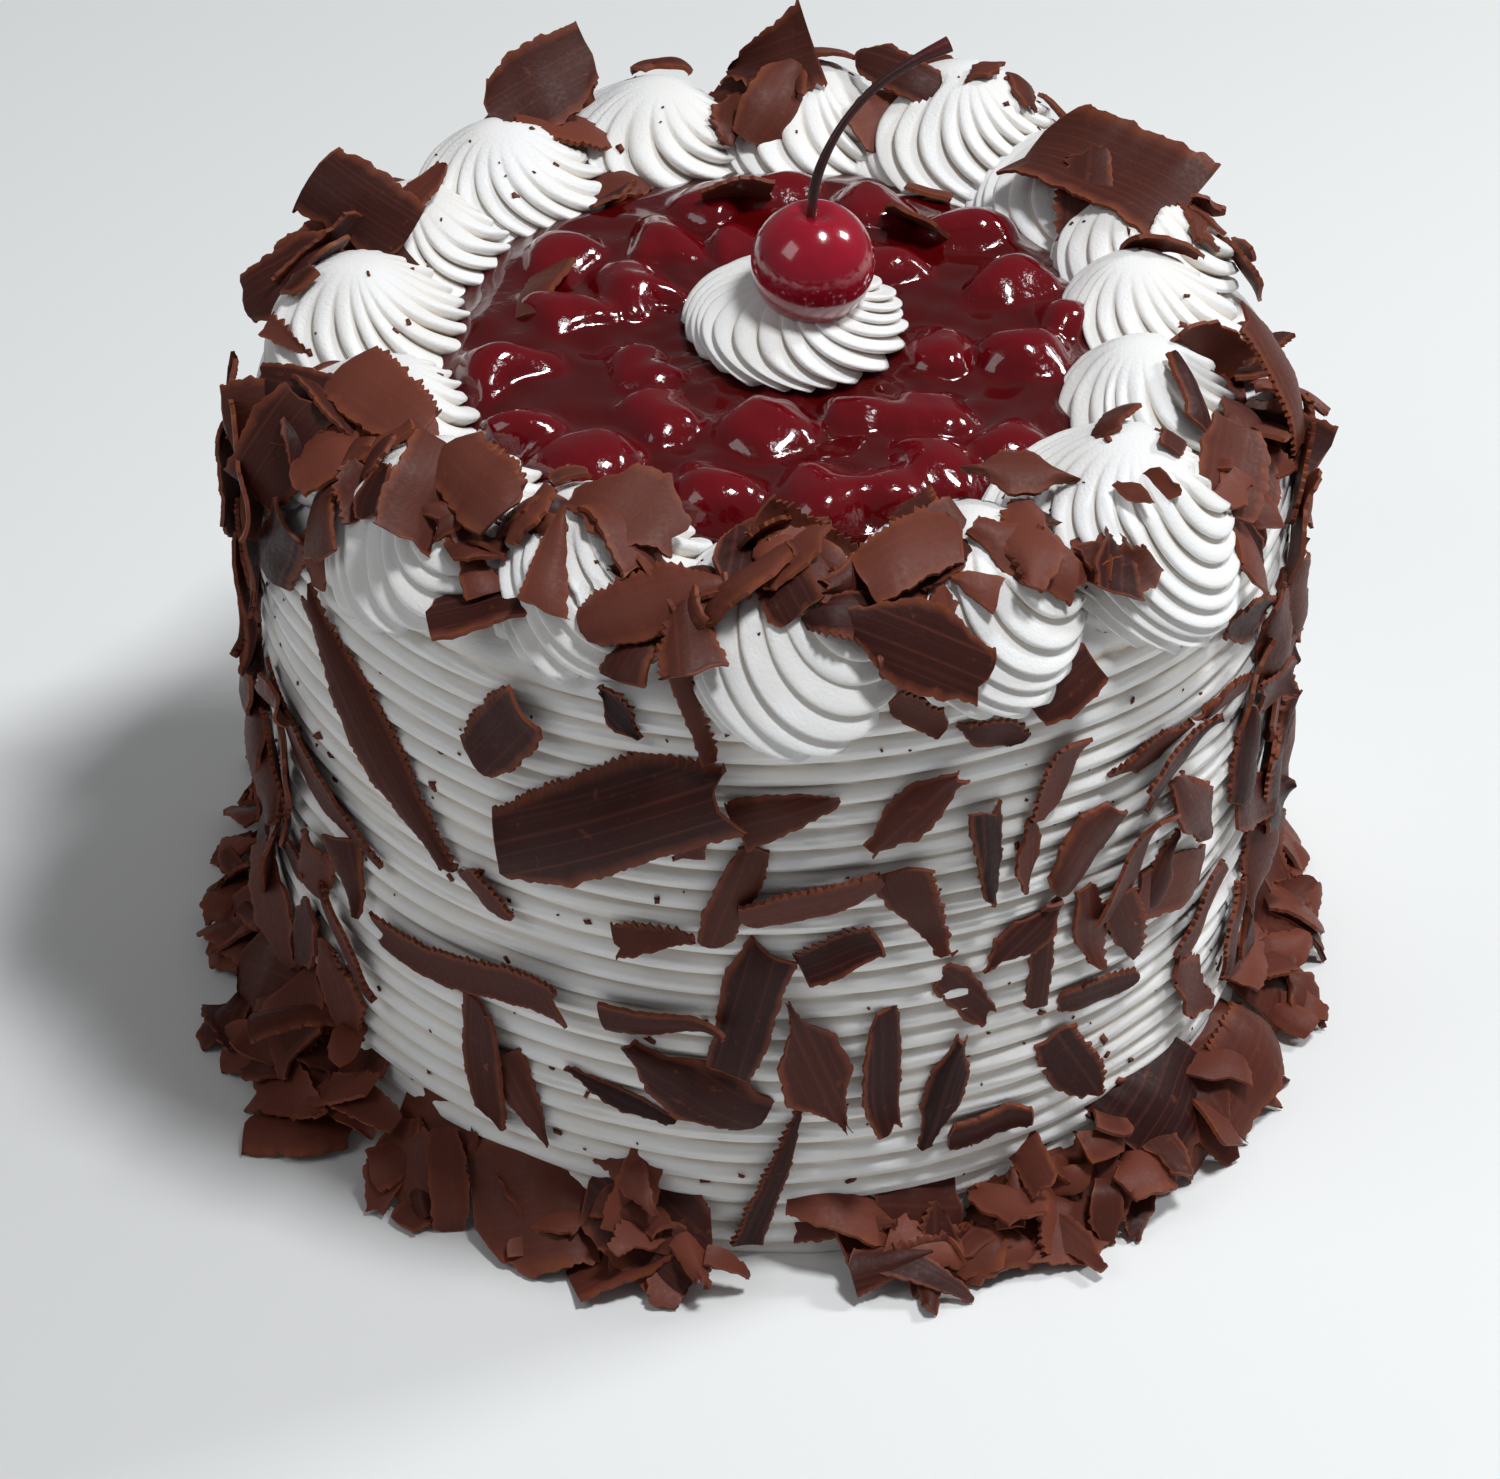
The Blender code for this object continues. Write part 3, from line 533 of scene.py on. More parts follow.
def pipe(bm, radius, height, ribs, twist, lean, seed):
    """Shapes a half sphere into a piped rosette with the attribute furrow, which paints shade between its
    ribs.
    """
    half_sphere(bm, ribs * RIB_POINTS, DOME_LEVELS)
    furrow = bm.verts.layers.float.new("furrow")
    sag = slow_wobble(seed, 3, 2.0, 6)
    uneven = slow_wobble(seed + 1, ribs, 3.0, 8)
    drift = slow_wobble(seed + 2, 4, 5.0, 6)
    for vert in bm.verts:
        level = max(0.0, min(1.0, vert.co.z))
        flat = math.hypot(vert.co.x, vert.co.y)
        angle = math.atan2(vert.co.y, vert.co.x)
        fold = (ribs * (angle - math.pi / 2) / math.tau + 0.5) % 1.0
        crest = 2.0 * math.sin(math.pi * fold ** FOLD_LEAN) ** 0.8 - 1.0
        fade = min(1.0, 3.2 * (1.0 - level))
        crest *= fade * (1.0 + 0.32 * float(uneven(angle, level)))
        reach = radius * (1.0 + RIB_DEPTH * crest) * flat ** DOME_SWELL
        reach *= 1.0 + 0.045 * float(sag(angle, level))
        turn = angle + twist * level ** 0.8 + 0.09 * float(drift(angle, level))
        rise = height * ((1.0 - PEAK_SHARE) * level ** DOME_RISE + PEAK_SHARE * level ** PEAK_POWER)
        rise += 0.02 * height * fade * crest
        # Painted shade: furrow grows towards the bottom of each furrow between the ribs.
        vert[furrow] = max(0.0, -crest) * 0.9
        vert.co = Vector((reach * math.cos(turn), reach * math.sin(turn), max(0.0, rise)))
        vert.co += lean * level * level


print("faces for each rib:", RIB_POINTS * DOME_LEVELS)

# %% [markdown]
# Sixteen rosettes stand in a ring on the top's edge, nearly touching. They differ in size, and
# the outer ones slump over the edge, so each row gives a turn, a distance, a radius and a
# height, as in the solid, and then its own twist and number of ribs.

# %% The ring of rosettes
# Turn, distance, radius, height, twist in degrees, ribs.
ROSETTES = (
    (179, 77.6, 19.5, 18, 70, 19), (157, 78.0, 18.5, 17, 85, 18), (135, 74.5, 19.5, 18, 95, 18),
    (111, 77.0, 19.0, 18, 110, 17), (88, 78.0, 19.0, 18, 95, 18), (65, 84.0, 21.0, 21, 105, 19),
    (44, 80.0, 19.0, 17, 90, 18), (25, 79.6, 18.5, 18, 75, 19), (8, 73.0, 17.5, 17, 65, 18),
    (344, 73.5, 17.5, 18, 70, 18), (317, 84.5, 22.0, 22, 125, 21), (294, 85.5, 20.5, 18, 110, 19),
    (272, 87.0, 21.0, 16, 90, 20), (249, 81.5, 19.5, 18, 100, 18), (226, 84.5, 20.5, 18, 80, 19),
    (203, 81.5, 19.5, 17, 90, 18),
)
SEAT = TOP_HEIGHT + 0.3 * MM
LEAN_RIGHT = (-4.0 * MM, 4.0 * MM)
LEAN_BACK = (3.0 * MM, 7.0 * MM)
SLUMP_START = 96.5 * MM
SLUMP_SLOPE = 0.75


def make_rosette(index):
    turn, distance, radius, height, twist, ribs = ROSETTES[index]
    angle = math.radians(turn)
    outward = Vector((math.cos(angle), math.sin(angle), 0.0))
    draw = random.Random(100 + index)
    lean = Vector((draw.uniform(*LEAN_RIGHT), draw.uniform(*LEAN_BACK), 0.0))
    spin = draw.uniform(0, math.tau)
    lean.rotate(Matrix.Rotation(-spin, 3, "Z"))
    bm = bmesh.new()
    pipe(bm, radius * MM, height * MM, ribs, -math.radians(twist), lean, 140 + 2 * index)
    bmesh.ops.rotate(bm, matrix=Matrix.Rotation(spin, 3, "Z"), verts=bm.verts)
    seat = outward * distance * MM + Vector((0.0, 0.0, SEAT))
    bmesh.ops.translate(bm, vec=seat, verts=bm.verts)
    for vert in bm.verts:
        over = max(0.0, vert.co.dot(outward) - SLUMP_START)
        vert.co.z -= SLUMP_SLOPE * over
    node = "rosette_%02d" % (index + 1)
    return finish_piece("piped_" + node, bm, CREAM, [node])


rosettes = [make_rosette(index) for index in range(len(ROSETTES))]

# %% [markdown]
# The gel lies inside the ring like a pool, and cherries bulge out of it. A height for every
# point of a flat disc describes that: the pool's level, a few ripples, and for each cherry the
# cap of a flattened ball. A soft maximum blends them, which is how thick gel clings to fruit.

# %% Cherry gel
POOL_RADIUS = 65.0 * MM
POOL_LEVEL = 146.9 * MM
POOL_EDGE = 143.5 * MM
POOL_RINGS = 96
POOL_STEPS = 340
CLING = 1.8 * MM
# Each cherry: how far right and back of the middle it lies, and its radius.
CHERRIES = (
    (-50, -16, 8.6), (-34, -45, 9.8), (-26, -15, 8.0), (-47, -36, 7.6), (-29, 13, 8.8),
    (-23, 30, 7.8), (-2, -34, 9.2), (-11, -54, 8.2), (8, -55, 8.8), (17, -29, 7.4),
    (28, -30, 7.8), (31, -6, 7.6), (47, -6, 9.4), (45, 19, 8.8), (37, 39, 8.8), (30, -45, 8.0),
    (43, -37, 7.6), (0, 50, 7.8), (-14, 46, 7.4), (-42, 24, 7.8), (56, 6, 7.0), (20, -52, 7.4),
    (-22, -30, 8.0), (-8, 29, 7.4), (18, 45, 7.6), (21, 24, 7.8), (-40, 4, 7.8),
)
CHERRY_SINK = 0.38
RIPPLE = 0.45 * MM
FINE_RIPPLE = 0.34 * MM
STRAY = 1.6 * MM
# The pool falls towards its edge over this share of its radius.
EDGE_SHARE = 0.14


def pool_surface(x, y):
    """Height of the gel, and how near a cherry lies under it, for arrays of places."""
    angle = np.arctan2(y, x)
    flat = np.hypot(x, y)
    ripple = slow_wobble(31, 9, 180.0)(angle, flat) * RIPPLE
    fine = slow_wobble(32, 26, 620.0, 18)(angle, flat) * FINE_RIPPLE
    stray = slow_wobble(33, 14, 300.0)(angle, flat) * STRAY
    level = ripple + fine
    fall = np.clip((flat / POOL_RADIUS - 1.0 + EDGE_SHARE) / EDGE_SHARE, 0.0, 1.0)
    level = level + (POOL_EDGE - POOL_LEVEL) * fall
    total = np.exp(level / CLING)
    near = np.zeros_like(x)
    draw = random.Random(21)
    for right, back, radius in CHERRIES:
        spin = draw.uniform(0.0, math.pi)
        long = radius * draw.uniform(1.0, 1.2) * MM
        wide = radius * draw.uniform(0.9, 1.0) * MM
        dx = x - right * MM + stray
        dy = y - back * MM - stray
        along = dx * math.cos(spin) + dy * math.sin(spin)
        side = dy * math.cos(spin) - dx * math.sin(spin)
        share = (along / long) ** 2 + (side / wide) ** 2
        inside = np.sqrt(np.clip(1.0 - share, 0.0, 1.0)) - 0.7 * np.maximum(share - 1.0, 0.0)
        cap = wide * (0.92 * inside - CHERRY_SINK) + fine
        total += np.exp(np.clip(cap, -0.02, None) / CLING)
        near = np.maximum(near, np.clip(1.3 - share, 0.0, 1.0) ** 0.6)
    return POOL_LEVEL + CLING * np.log(total), near


def make_gel_pool():
    bm = bmesh.new()
    rings = [(POOL_RADIUS * ring / POOL_RINGS, POOL_LEVEL) for ring in range(POOL_RINGS + 1)]
    spin_outline(bm, rings + [(POOL_RADIUS, SEAT), (0.0, SEAT)], POOL_STEPS)
    piece = finish_piece("cherry_gel_pool", bm, GEL, ["cherry_filling"])
    points = points_of(piece.data)
    height, near = pool_surface(points[:, 0], points[:, 1])
    upper = points[:, 2] > SEAT + 1.0 * MM
    points[:, 2] = np.where(upper, height, points[:, 2])
    piece.data.vertices.foreach_set("co", points.ravel())
    add_values(piece.data, "cherry", np.where(upper, near, 0.0))
    return piece


pool_piece = make_gel_pool()

# %% [markdown]
# In the middle a flatter rosette holds the cherry. It has many ribs, and their ends make a
# saw-toothed edge. The cherry is a ball, a little uneven, with a dimple where its stem goes in.

# %% Middle rosette and its cherry
STAR_CENTRE = Vector((3.4, -0.4, 147.7)) * MM
STAR_RADIUS = 19.6 * MM
STAR_HEIGHT = 11.5 * MM
STAR_RIBS = 21
STAR_TWIST = math.radians(-62)
CHERRY_CENTRE = Vector((6.3, -3.5, 165.0)) * MM
CHERRY_RADIUS = 11.8 * MM
DIMPLE_RADIUS = 5.0 * MM
DIMPLE_DEPTH = 2.0 * MM

bm = bmesh.new()
pipe(bm, STAR_RADIUS, STAR_HEIGHT, STAR_RIBS, STAR_TWIST, Vector(), 190)
bmesh.ops.translate(bm, vec=STAR_CENTRE, verts=bm.verts)
star_piece = finish_piece("piped_star", bm, CREAM, ["centre_rosette"])

bm = bmesh.new()
bmesh.ops.create_uvsphere(bm, u_segments=72, v_segments=48, radius=CHERRY_RADIUS)
plump = slow_wobble(41, 3, 120.0, 6)
for vert in bm.verts:
    flat = math.hypot(vert.co.x, vert.co.y)
    vert.co *= 1.0 + 0.012 * float(plump(math.atan2(vert.co.y, vert.co.x), vert.co.z))
    if vert.co.z > 0 and flat < DIMPLE_RADIUS:
        vert.co.z -= DIMPLE_DEPTH * (0.5 + 0.5 * math.cos(math.pi * flat / DIMPLE_RADIUS))
bmesh.ops.translate(bm, vec=CHERRY_CENTRE, verts=bm.verts)
finish_piece("stemmed_cherry", bm, CHERRY_SKIN, ["top_cherry"])

# %% [markdown]
# The stem is a thin rod along a bent line, thicker at the tip where it was picked. A small ring
# of points is extruded from station to station, each station turned square to the line.

# %% Stem
STEM_RADIUS = 0.9 * MM
STEM_POINTS = (
    (5.9, -3.3, 174.5), (6.3, -2.5, 181.0), (8.4, -1.0, 187.5), (12.0, 1.4, 193.5),
    (17.2, 4.3, 198.6), (23.6, 7.2, 202.3), (30.6, 9.6, 205.0),
)
STEM_STEPS = 6


def smooth_route(points, steps):
    """A soft line through the points, by the four-point rule."""
    spots = [Vector(point) * MM for point in points]
    spots = [2 * spots[0] - spots[1]] + spots + [2 * spots[-1] - spots[-2]]
    route = []
    for a, b, c, d in zip(spots, spots[1:], spots[2:], spots[3:]):
        for step in range(steps):
            t = step / steps
            route.append(0.5 * (2 * b + (c - a) * t + (2 * a - 5 * b + 4 * c - d) * t * t
                                + (3 * b - a - 3 * c + d) * t ** 3))
    return route + [spots[-2]]


def make_stem():
    route = smooth_route(STEM_POINTS, STEM_STEPS)
    bm = bmesh.new()
    ends = bm.verts.layers.float.new("ends")
    ring = bmesh.ops.create_circle(bm, segments=12, radius=1.0, cap_ends=True)["verts"]
    shape = [vert.co.copy() for vert in ring]
    edges = [edge for edge in bm.edges]
    for index, spot in enumerate(route):
        share = index / (len(route) - 1)
        if index:
            grown = bmesh.ops.extrude_edge_only(bm, edges=edges)["geom"]
            ring = [item for item in grown if isinstance(item, bmesh.types.BMVert)]
            edges = [item for item in grown if isinstance(item, bmesh.types.BMEdge)]
        ahead = route[min(index + 1, len(route) - 1)] - route[max(index - 1, 0)]
        turn = ahead.to_track_quat("Z", "Y").to_matrix()
        size = STEM_RADIUS * (1.0 + 0.12 * math.sin(9.0 * share) + 0.7 * max(0.0, share - 0.86) / 0.14)
        for vert, corner in zip(ring, shape):
            vert.co = spot + turn @ (corner * size)
            vert[ends] = max(0.0, 1.0 - 9.0 * share, (share - 0.8) * 4.0)
    bmesh.ops.contextual_create(bm, geom=edges)
    bmesh.ops.recalc_face_normals(bm, faces=bm.faces)
    return finish_piece("cherry_stalk", bm, STEM_BARK, ["cherry_stem"], 60)


make_stem()

# %% [markdown]
# A shaving is planed off a block: thin, curled along its length, broken at its ends, and often
# with one edge like a fine saw. It starts as a flat grid. Each long edge is a line through four
# random half widths of its kind, and the grid is bent along a line that may hook at its end.
# These helpers give those lines, and one keeps a finished shaving inside the model's box. Each
# shaving is made in a small mesh of its own and poured into the large one, which is quicker.

# %% Shaving maker
SHARD_THICKNESS = 0.8 * MM
SHARP_EDGE = 35
RIM_WIDTH = 0.5 * MM
TOOTH = 0.7 * MM
BEND_STEPS = 60
KNOT_PLACES = (-0.5, -0.2, 0.2, 0.5)
BROKEN_END = 0.07
# Half width at four places along a long edge, as the least and the most of each.
OUTLINES = {
    "plate": ((0.55, 0.85, 0.75, 0.35), (1.05, 1.15, 1.15, 1.0)),
    "wedge": ((0.85, 0.7, 0.35, 0.02), (1.1, 0.95, 0.6, 0.2)),
    "petal": ((0.1, 0.75, 0.9, 0.35), (0.4, 1.0, 1.1, 0.7)),
    "leaf": ((0.02, 0.75, 0.75, 0.02), (0.1, 1.0, 1.0, 0.1)),
    "strip": ((0.15, 0.8, 0.8, 0.05), (0.6, 1.05, 1.05, 0.5)),
}
KINDS = ("plate", "wedge", "petal", "plate", "strip", "wedge", "plate", "leaf")
FLOOR_GAP = 0.25 * MM
BOX_MARGIN = 0.5 * MM
SCRATCH = bpy.data.meshes.new("scratch")


def new_chocolate():
    bm = bmesh.new()
    for name in ("rim", "tone", "across"):
        bm.verts.layers.float.new(name)
    return bm


def finish_chocolate(name, bm, nodes, sharp=SHARP_EDGE):
    return finish_piece(name, bm, CHOCOLATE, nodes, sharp)


def pour(bm, one):
    """Adds one finished shaving to the mesh that collects its kind."""
    one.to_mesh(SCRATCH)
    one.free()
    bm.from_mesh(SCRATCH)


def crowd(share, size):
    """Moves the lines of a grid that are next to its border close to it."""
    inner = 0.5 - min(0.2, RIM_WIDTH / size)
    return np.where(np.abs(share) > 0.499, share, np.clip(share * 1.12, -inner, inner))


def long_edge(kind, draw, u):
    least, most = OUTLINES[kind]
    knots = [draw.uniform(a, b) for a, b in zip(least, most)]
    if kind in ("leaf", "petal", "strip"):
        u = 0.5 * np.sin(math.pi * u)
    return np.interp(u, KNOT_PLACES, knots)


def bent_line(length, curl, hook):
    """A line bent evenly through curl, and through hook more near its far end."""
    share = np.linspace(-0.5, 0.5, BEND_STEPS + 1)
    angle = curl * share + hook * (np.clip(share - 0.05, 0.0, 1.0) / 0.45) ** 2
    step = length / BEND_STEPS
    x = np.cumsum(np.cos(angle)) * step
    z = -np.cumsum(np.sin(angle)) * step
    middle = BEND_STEPS // 2
    return share, x - x[middle], z - z[middle], angle


def settle(verts, stand=False):
    """Keeps a shaving above the table and inside the model's box."""
    low = min(vert.co.z for vert in verts)
    shift = Vector((0.0, 0.0, FLOOR_GAP - low if stand else max(0.0, FLOOR_GAP - low)))
    for axis in (0, 1):
        most = max(vert.co[axis] for vert in verts)
        least = min(vert.co[axis] for vert in verts)
        shift[axis] = min(0.0, CAD_HIGH[axis] - BOX_MARGIN - most)
        shift[axis] += max(0.0, CAD_LOW[axis] + BOX_MARGIN - least)
    for vert in verts:
        vert.co += shift


print("kinds of outline:", *OUTLINES)

# %% [markdown]
# One shaving: teeth and ragged noise are added along the border of the grid, and an extrusion
# gives the sheet its thickness. Lines of the grid crowd near the border, so that the rusty rim
# stays thin.

# %% One shaving
def add_shaving(bm, place, length, width, curl, draw, kind="plate", teeth=False, fine=True,
                tone=None, hook=0.0, stand=False):
    one = new_chocolate()
    along = max(8, 2 * round(length / TOOTH / 2)) if fine else 6
    across = 6 if fine else 4
    made = bmesh.ops.create_grid(one, x_segments=along, y_segments=across, size=0.5)["verts"]
    flat = np.array([vert.co[:2] for vert in made])
    border = np.abs(flat).max(axis=1) > 0.499
    tooth = np.where(np.rint((flat[:, 0] + 0.5) * along) % 2 > 0, 0.6, -0.4)
    u, v = crowd(flat[:, 0], length), crowd(flat[:, 1], width)
    wide = np.where(v > 0, long_edge(kind, draw, u), long_edge(kind, draw, u))
    skew, bow = draw.uniform(-0.5, 0.5), draw.uniform(-0.2, 0.2)
    cup, phase = draw.uniform(-0.5, 1.0), draw.uniform(0.0, math.tau)
    rough = draw.uniform(0.01, 0.03)
    noise = np.random.default_rng(draw.randrange(10 ** 6)).uniform(-1.0, 1.0, (2, len(u)))
    wide = wide + rough * (np.sin(23.0 * u + phase) + np.sin(41.0 * u + 2.0 * phase))
    chips = [draw.uniform(-BROKEN_END, BROKEN_END) for _ in KNOT_PLACES]
    s = u + skew * v * width / length + np.interp(v, KNOT_PLACES, chips) * (2.0 * u) ** 3
    y = (v * wide + bow * (0.25 - u * u)) * width
    if fine:
        toothed = teeth & (v > 0.499)
        spike = tooth * (1.2 + 0.9 * noise[1]) + 0.2 * noise[0]
        y = y + np.where(toothed, spike, np.where(border, 0.35 * noise[0], 0.0)) * TOOTH
        s = s + np.where(border, 0.3 * noise[1], 0.0) * TOOTH / length
    lift = cup * width * 0.7 * (0.25 - v * v) + 0.02 * width * np.sin(9.0 * u + phase)
    share, x_line, z_line, bend = bent_line(length, curl, hook)
    angle = np.interp(s, share, bend)
    x = np.interp(s, share, x_line) + lift * np.sin(angle)
    z = np.interp(s, share, z_line) + lift * np.cos(angle)
    shade = draw.random() if tone is None else tone
    layers = [one.verts.layers.float[name] for name in ("rim", "tone", "across")]
    for index, vert in enumerate(made):
        vert.co = Vector((x[index], y[index], z[index]))
        for layer, value in zip(layers, (float(border[index]), shade, y[index] + 10.0 * phase)):
            vert[layer] = value
    steps = {tuple(vert.co): Vector((-math.sin(a), 0.0, -math.cos(a))) * SHARD_THICKNESS
             for vert, a in zip(made, angle)}
    grown = bmesh.ops.extrude_face_region(one, geom=one.faces[:], use_keep_orig=True)["geom"]
    under = [item for item in grown if isinstance(item, bmesh.types.BMVert)]
    for vert in under:
        vert.co += steps[tuple(vert.co)]
    bmesh.ops.recalc_face_normals(one, faces=one.faces)
    middle = Matrix.Translation((0.0, 0.0, SHARD_THICKNESS / 2))
    bmesh.ops.transform(one, matrix=place @ middle, verts=one.verts)
    settle(one.verts, stand)
    pour(bm, one)


def ring_place(turn, distance, height, spin, pitch, roll):
    """X runs along the ring, Y to the middle; pitch lowers the outer edge."""
    angle = math.radians(turn)
    spot = Vector((math.cos(angle) * distance, math.sin(angle) * distance, height))
    place = Matrix.Translation(spot) @ Matrix.Rotation(angle + math.pi / 2, 4, "Z")
    place = place @ Matrix.Rotation(math.radians(pitch), 4, "X")
    place = place @ Matrix.Rotation(math.radians(roll), 4, "Y")
    return place @ Matrix.Rotation(math.radians(spin), 4, "Z")


print("sheet:", round(SHARD_THICKNESS / MM, 2), "mm thick")

# %% [markdown]
# The largest shavings lie across the rosettes. Each has its own row, as in the solid: turn,
# distance, height, length, width, spin, pitch, roll and curl, and then its kind of outline,
# whether it is toothed, and its tone. They were pressed on, so cream that would stand above one
# is lowered to just under it.

# %% Large shavings on the ring
RING_SHARDS = (
    ("broad", 36, 80, 159.0, 37, 25, 20, -9, -8, 40, "plate", False, 0.3),
    ("rear_left", 124, 86, 160.0, 27, 18, 10, -42, 8, 30, "plate", False, 0.25),
    ("rear_mid", 92, 80, 161.5, 19, 17, 20, -66, 5, 25, "wedge", True, 0.3),
    ("rear_right", 74, 84, 158.5, 20, 9, -15, -28, 0, 50, "plate", False, 0.2),
    ("left_rear", 166, 84, 159.5, 22, 16, 75, -12, 58, 50, "plate", False, 0.2),
    ("left_cluster", 209, 82, 156.5, 24, 15, 15, 12, 6, 25, "plate", True, 0.75),
    ("left_front", 232, 86, 157.5, 20, 15, -15, 18, 0, 30, "plate", True, 0.6),
    ("front_left", 251, 80, 158.0, 23, 18, -5, 20, 6, 55, "petal", False, 0.65),
    ("front_step", 257, 95, 149.5, 26, 12, 25, 36, -6, 35, "plate", True, 0.7),
    ("front_roll", 271, 76, 154.5, 24, 10, -12, -8, 0, 100, "plate", False, 0.6),
    ("front_dark", 284, 103, 146.5, 31, 17, -28, 56, 0, 35, "petal", False, 0.15),
    ("front_mid", 286, 89, 156.5, 22, 14, 18, 18, 0, 30, "plate", True, 0.75),
    ("leaf_upper", 305, 77, 159.0, 22, 12, -30, 16, 0, 35, "leaf", False, 0.6),
    ("leaf_lower", 299, 93, 154.0, 23, 12, -50, 34, 0, 30, "petal", False, 0.75),
    ("right_front", 331, 96, 150.5, 24, 17, 25, 42, 0, 25, "plate", False, 0.55),
    ("right_upright", 350, 96, 151.0, 31, 13, 84, 62, 0, 35, "plate", True, 0.5),
)

bm = new_chocolate()
draw = random.Random(600)
for name, turn, distance, height, length, width, spin, pitch, roll, curl, kind, teeth, tone in RING_SHARDS:
    place = ring_place(turn, distance * MM, height * MM, spin, pitch, roll)
    add_shaving(bm, place, length * MM, width * MM, math.radians(curl), draw, kind, teeth, True, tone)
ring_piece = finish_chocolate("ring_shavings", bm, ["shaving_" + row[0] for row in RING_SHARDS])

# %% Cream pressed down
DROP_FROM = 0.25
PRESSED = 1.0 * MM
STRAIGHT_DOWN = Vector((0.0, 0.0, -1.0))


def tree_of(pieces):
    verts = []
    faces = []
    for piece in pieces:
        start = len(verts)
        verts += [vert.co.copy() for vert in piece.data.vertices]
        faces += [[start + corner for corner in face.vertices] for face in piece.data.polygons]
    return BVHTree.FromPolygons(verts, faces)


def press_cream(pieces, tree):
    """Lowers the cream that would stand above a shaving to just under it."""
    for piece in pieces:
        for vert in piece.data.vertices:
            spot = tree.ray_cast(Vector((vert.co.x, vert.co.y, DROP_FROM)), STRAIGHT_DOWN)[0]
            if spot and vert.co.z > spot.z - PRESSED:
                vert.co.z = spot.z - PRESSED


press_cream(rosettes, tree_of([ring_piece]))
print("pressed", round(PRESSED / MM, 1), "mm under", ring_piece.name)

# %% [markdown]
# Shavings pressed into the side follow the same making. Their place is a turn and a height. Each
# is tilted a little about its own length, so that one edge touches the ridges and the other
# stands off and throws a thin shadow.

# %% Shavings on the side
# Turn, height, length, width, slant, kind, teeth, tone.
SIDE_SHARDS = (
    (225, 104, 60, 10, -50, "strip", True, 0.3), (212, 80, 50, 12, -20, "strip", True, 0.3),
    (195, 61, 32, 10, -22, "plate", True, 0.35), (237, 57, 48, 11, 10, "plate", True, 0.35),
    (239, 36, 30, 11, -88, "plate", False, 0.3), (243, 119, 22, 12, 55, "plate", True, 0.2),
    (254, 106, 52, 19, 30, "plate", True, 0.15), (285, 110, 24, 10, 46, "strip", False, 0.4),
    (267, 91, 25, 8, 74, "plate", False, 0.45), (275, 90, 27, 9, 14, "plate", True, 0.55),
    (286, 86, 22, 12, -65, "wedge", True, 0.35), (269, 63, 34, 12, 78, "plate", False, 0.1),
    (263, 44, 31, 15, -33, "petal", False, 0.15), (276, 51, 34, 16, -70, "leaf", False, 0.3),
    (283, 48, 29, 8, -88, "plate", False, 0.1), (305, 90, 20, 12, 51, "plate", False, 0.4),
    (312, 64, 20, 10, -70, "wedge", True, 0.4), (327, 52, 21, 11, 44, "plate", True, 0.4),
    (339, 104, 26, 12, -70, "plate", True, 0.35), (347, 84, 24, 11, 50, "plate", False, 0.4),
)
# Smaller ones seen in the picture, and then those that crowd its left and right edges.
SIDE_CHIPS = (
    (218, 45, 23, 9, -48), (244, 31, 19, 8, -60), (240, 79, 12, 6, -38), (263, 107, 16, 5, 81),
    (255, 130, 11, 7, -48), (262, 135, 23, 4, -72), (272, 111, 18, 9, 20), (259, 79, 15, 6, 15),
    (278, 77, 14, 7, 25), (260, 59, 22, 8, 7), (255, 38, 21, 4, -22), (272, 21, 32, 6, 74),
    (290, 40, 26, 7, 77), (296, 27, 16, 7, 6), (293, 96, 21, 8, -87), (298, 93, 15, 6, -90),
    (301, 109, 16, 7, 74), (307, 69, 19, 8, -82), (317, 71, 19, 6, 59), (309, 51, 18, 6, -9),
    (314, 105, 20, 7, 3), (325, 106, 15, 7, -7), (293, 124, 13, 6, -25), (285, 131, 11, 6, -33),
    (301, 130, 13, 9, 28), (301, 67, 24, 4, 88), (352, 105, 43, 8, -84),
    (186, 118, 30, 13, 70), (192, 96, 26, 12, -60), (180, 104, 24, 11, 30), (199, 122, 32, 11, -70),
    (189, 74, 26, 12, 50), (202, 66, 24, 10, -35), (196, 42, 26, 12, 65), (205, 50, 18, 9, 15),
    (184, 50, 22, 11, -30), (212, 58, 16, 8, 70), (204, 88, 20, 8, 20), (220, 64, 15, 8, -70),
    (350, 120, 22, 11, 60), (357, 96, 24, 12, -40), (346, 68, 26, 13, 70), (355, 58, 24, 12, -65),
    (338, 66, 20, 10, -30), (343, 48, 24, 12, 55), (352, 38, 26, 13, -75), (334, 82, 20, 9, 80),
    (322, 84, 24, 11, -60), (318, 100, 20, 10, 35), (331, 118, 18, 9, -20), (3, 78, 22, 11, 35),
    (6, 48, 24, 12, -50), (336, 36, 20, 11, 75), (326, 34, 18, 10, -45), (312, 80, 22, 9, 65),
    (306, 36, 20, 9, -60), (320, 68, 22, 10, -15), (298, 74, 18, 8, 40), (292, 62, 16, 7, -50),
    (188, 134, 26, 15, 20), (194, 108, 22, 12, -30), (200, 136, 24, 14, -50), (208, 128, 20, 11, 60),
    (183, 86, 24, 12, -70), (191, 56, 26, 14, 60), (198, 28, 24, 13, -40), (188, 34, 22, 12, 40),
    (207, 32, 22, 12, 70), (216, 30, 20, 10, -60), (179, 66, 22, 11, 50), (206, 74, 20, 9, -75),
    (349, 134, 26, 13, 30), (356, 124, 24, 14, -60), (343, 126, 20, 11, 70), (2, 110, 24, 13, 60),
    (350, 72, 24, 13, 25), (341, 90, 22, 11, -35), (357, 72, 22, 12, 80), (348, 52, 22, 12, -20),
    (0, 32, 24, 13, 45), (342, 30, 22, 12, -70), (333, 100, 18, 10, 55), (345, 108, 18, 10, -80),
)
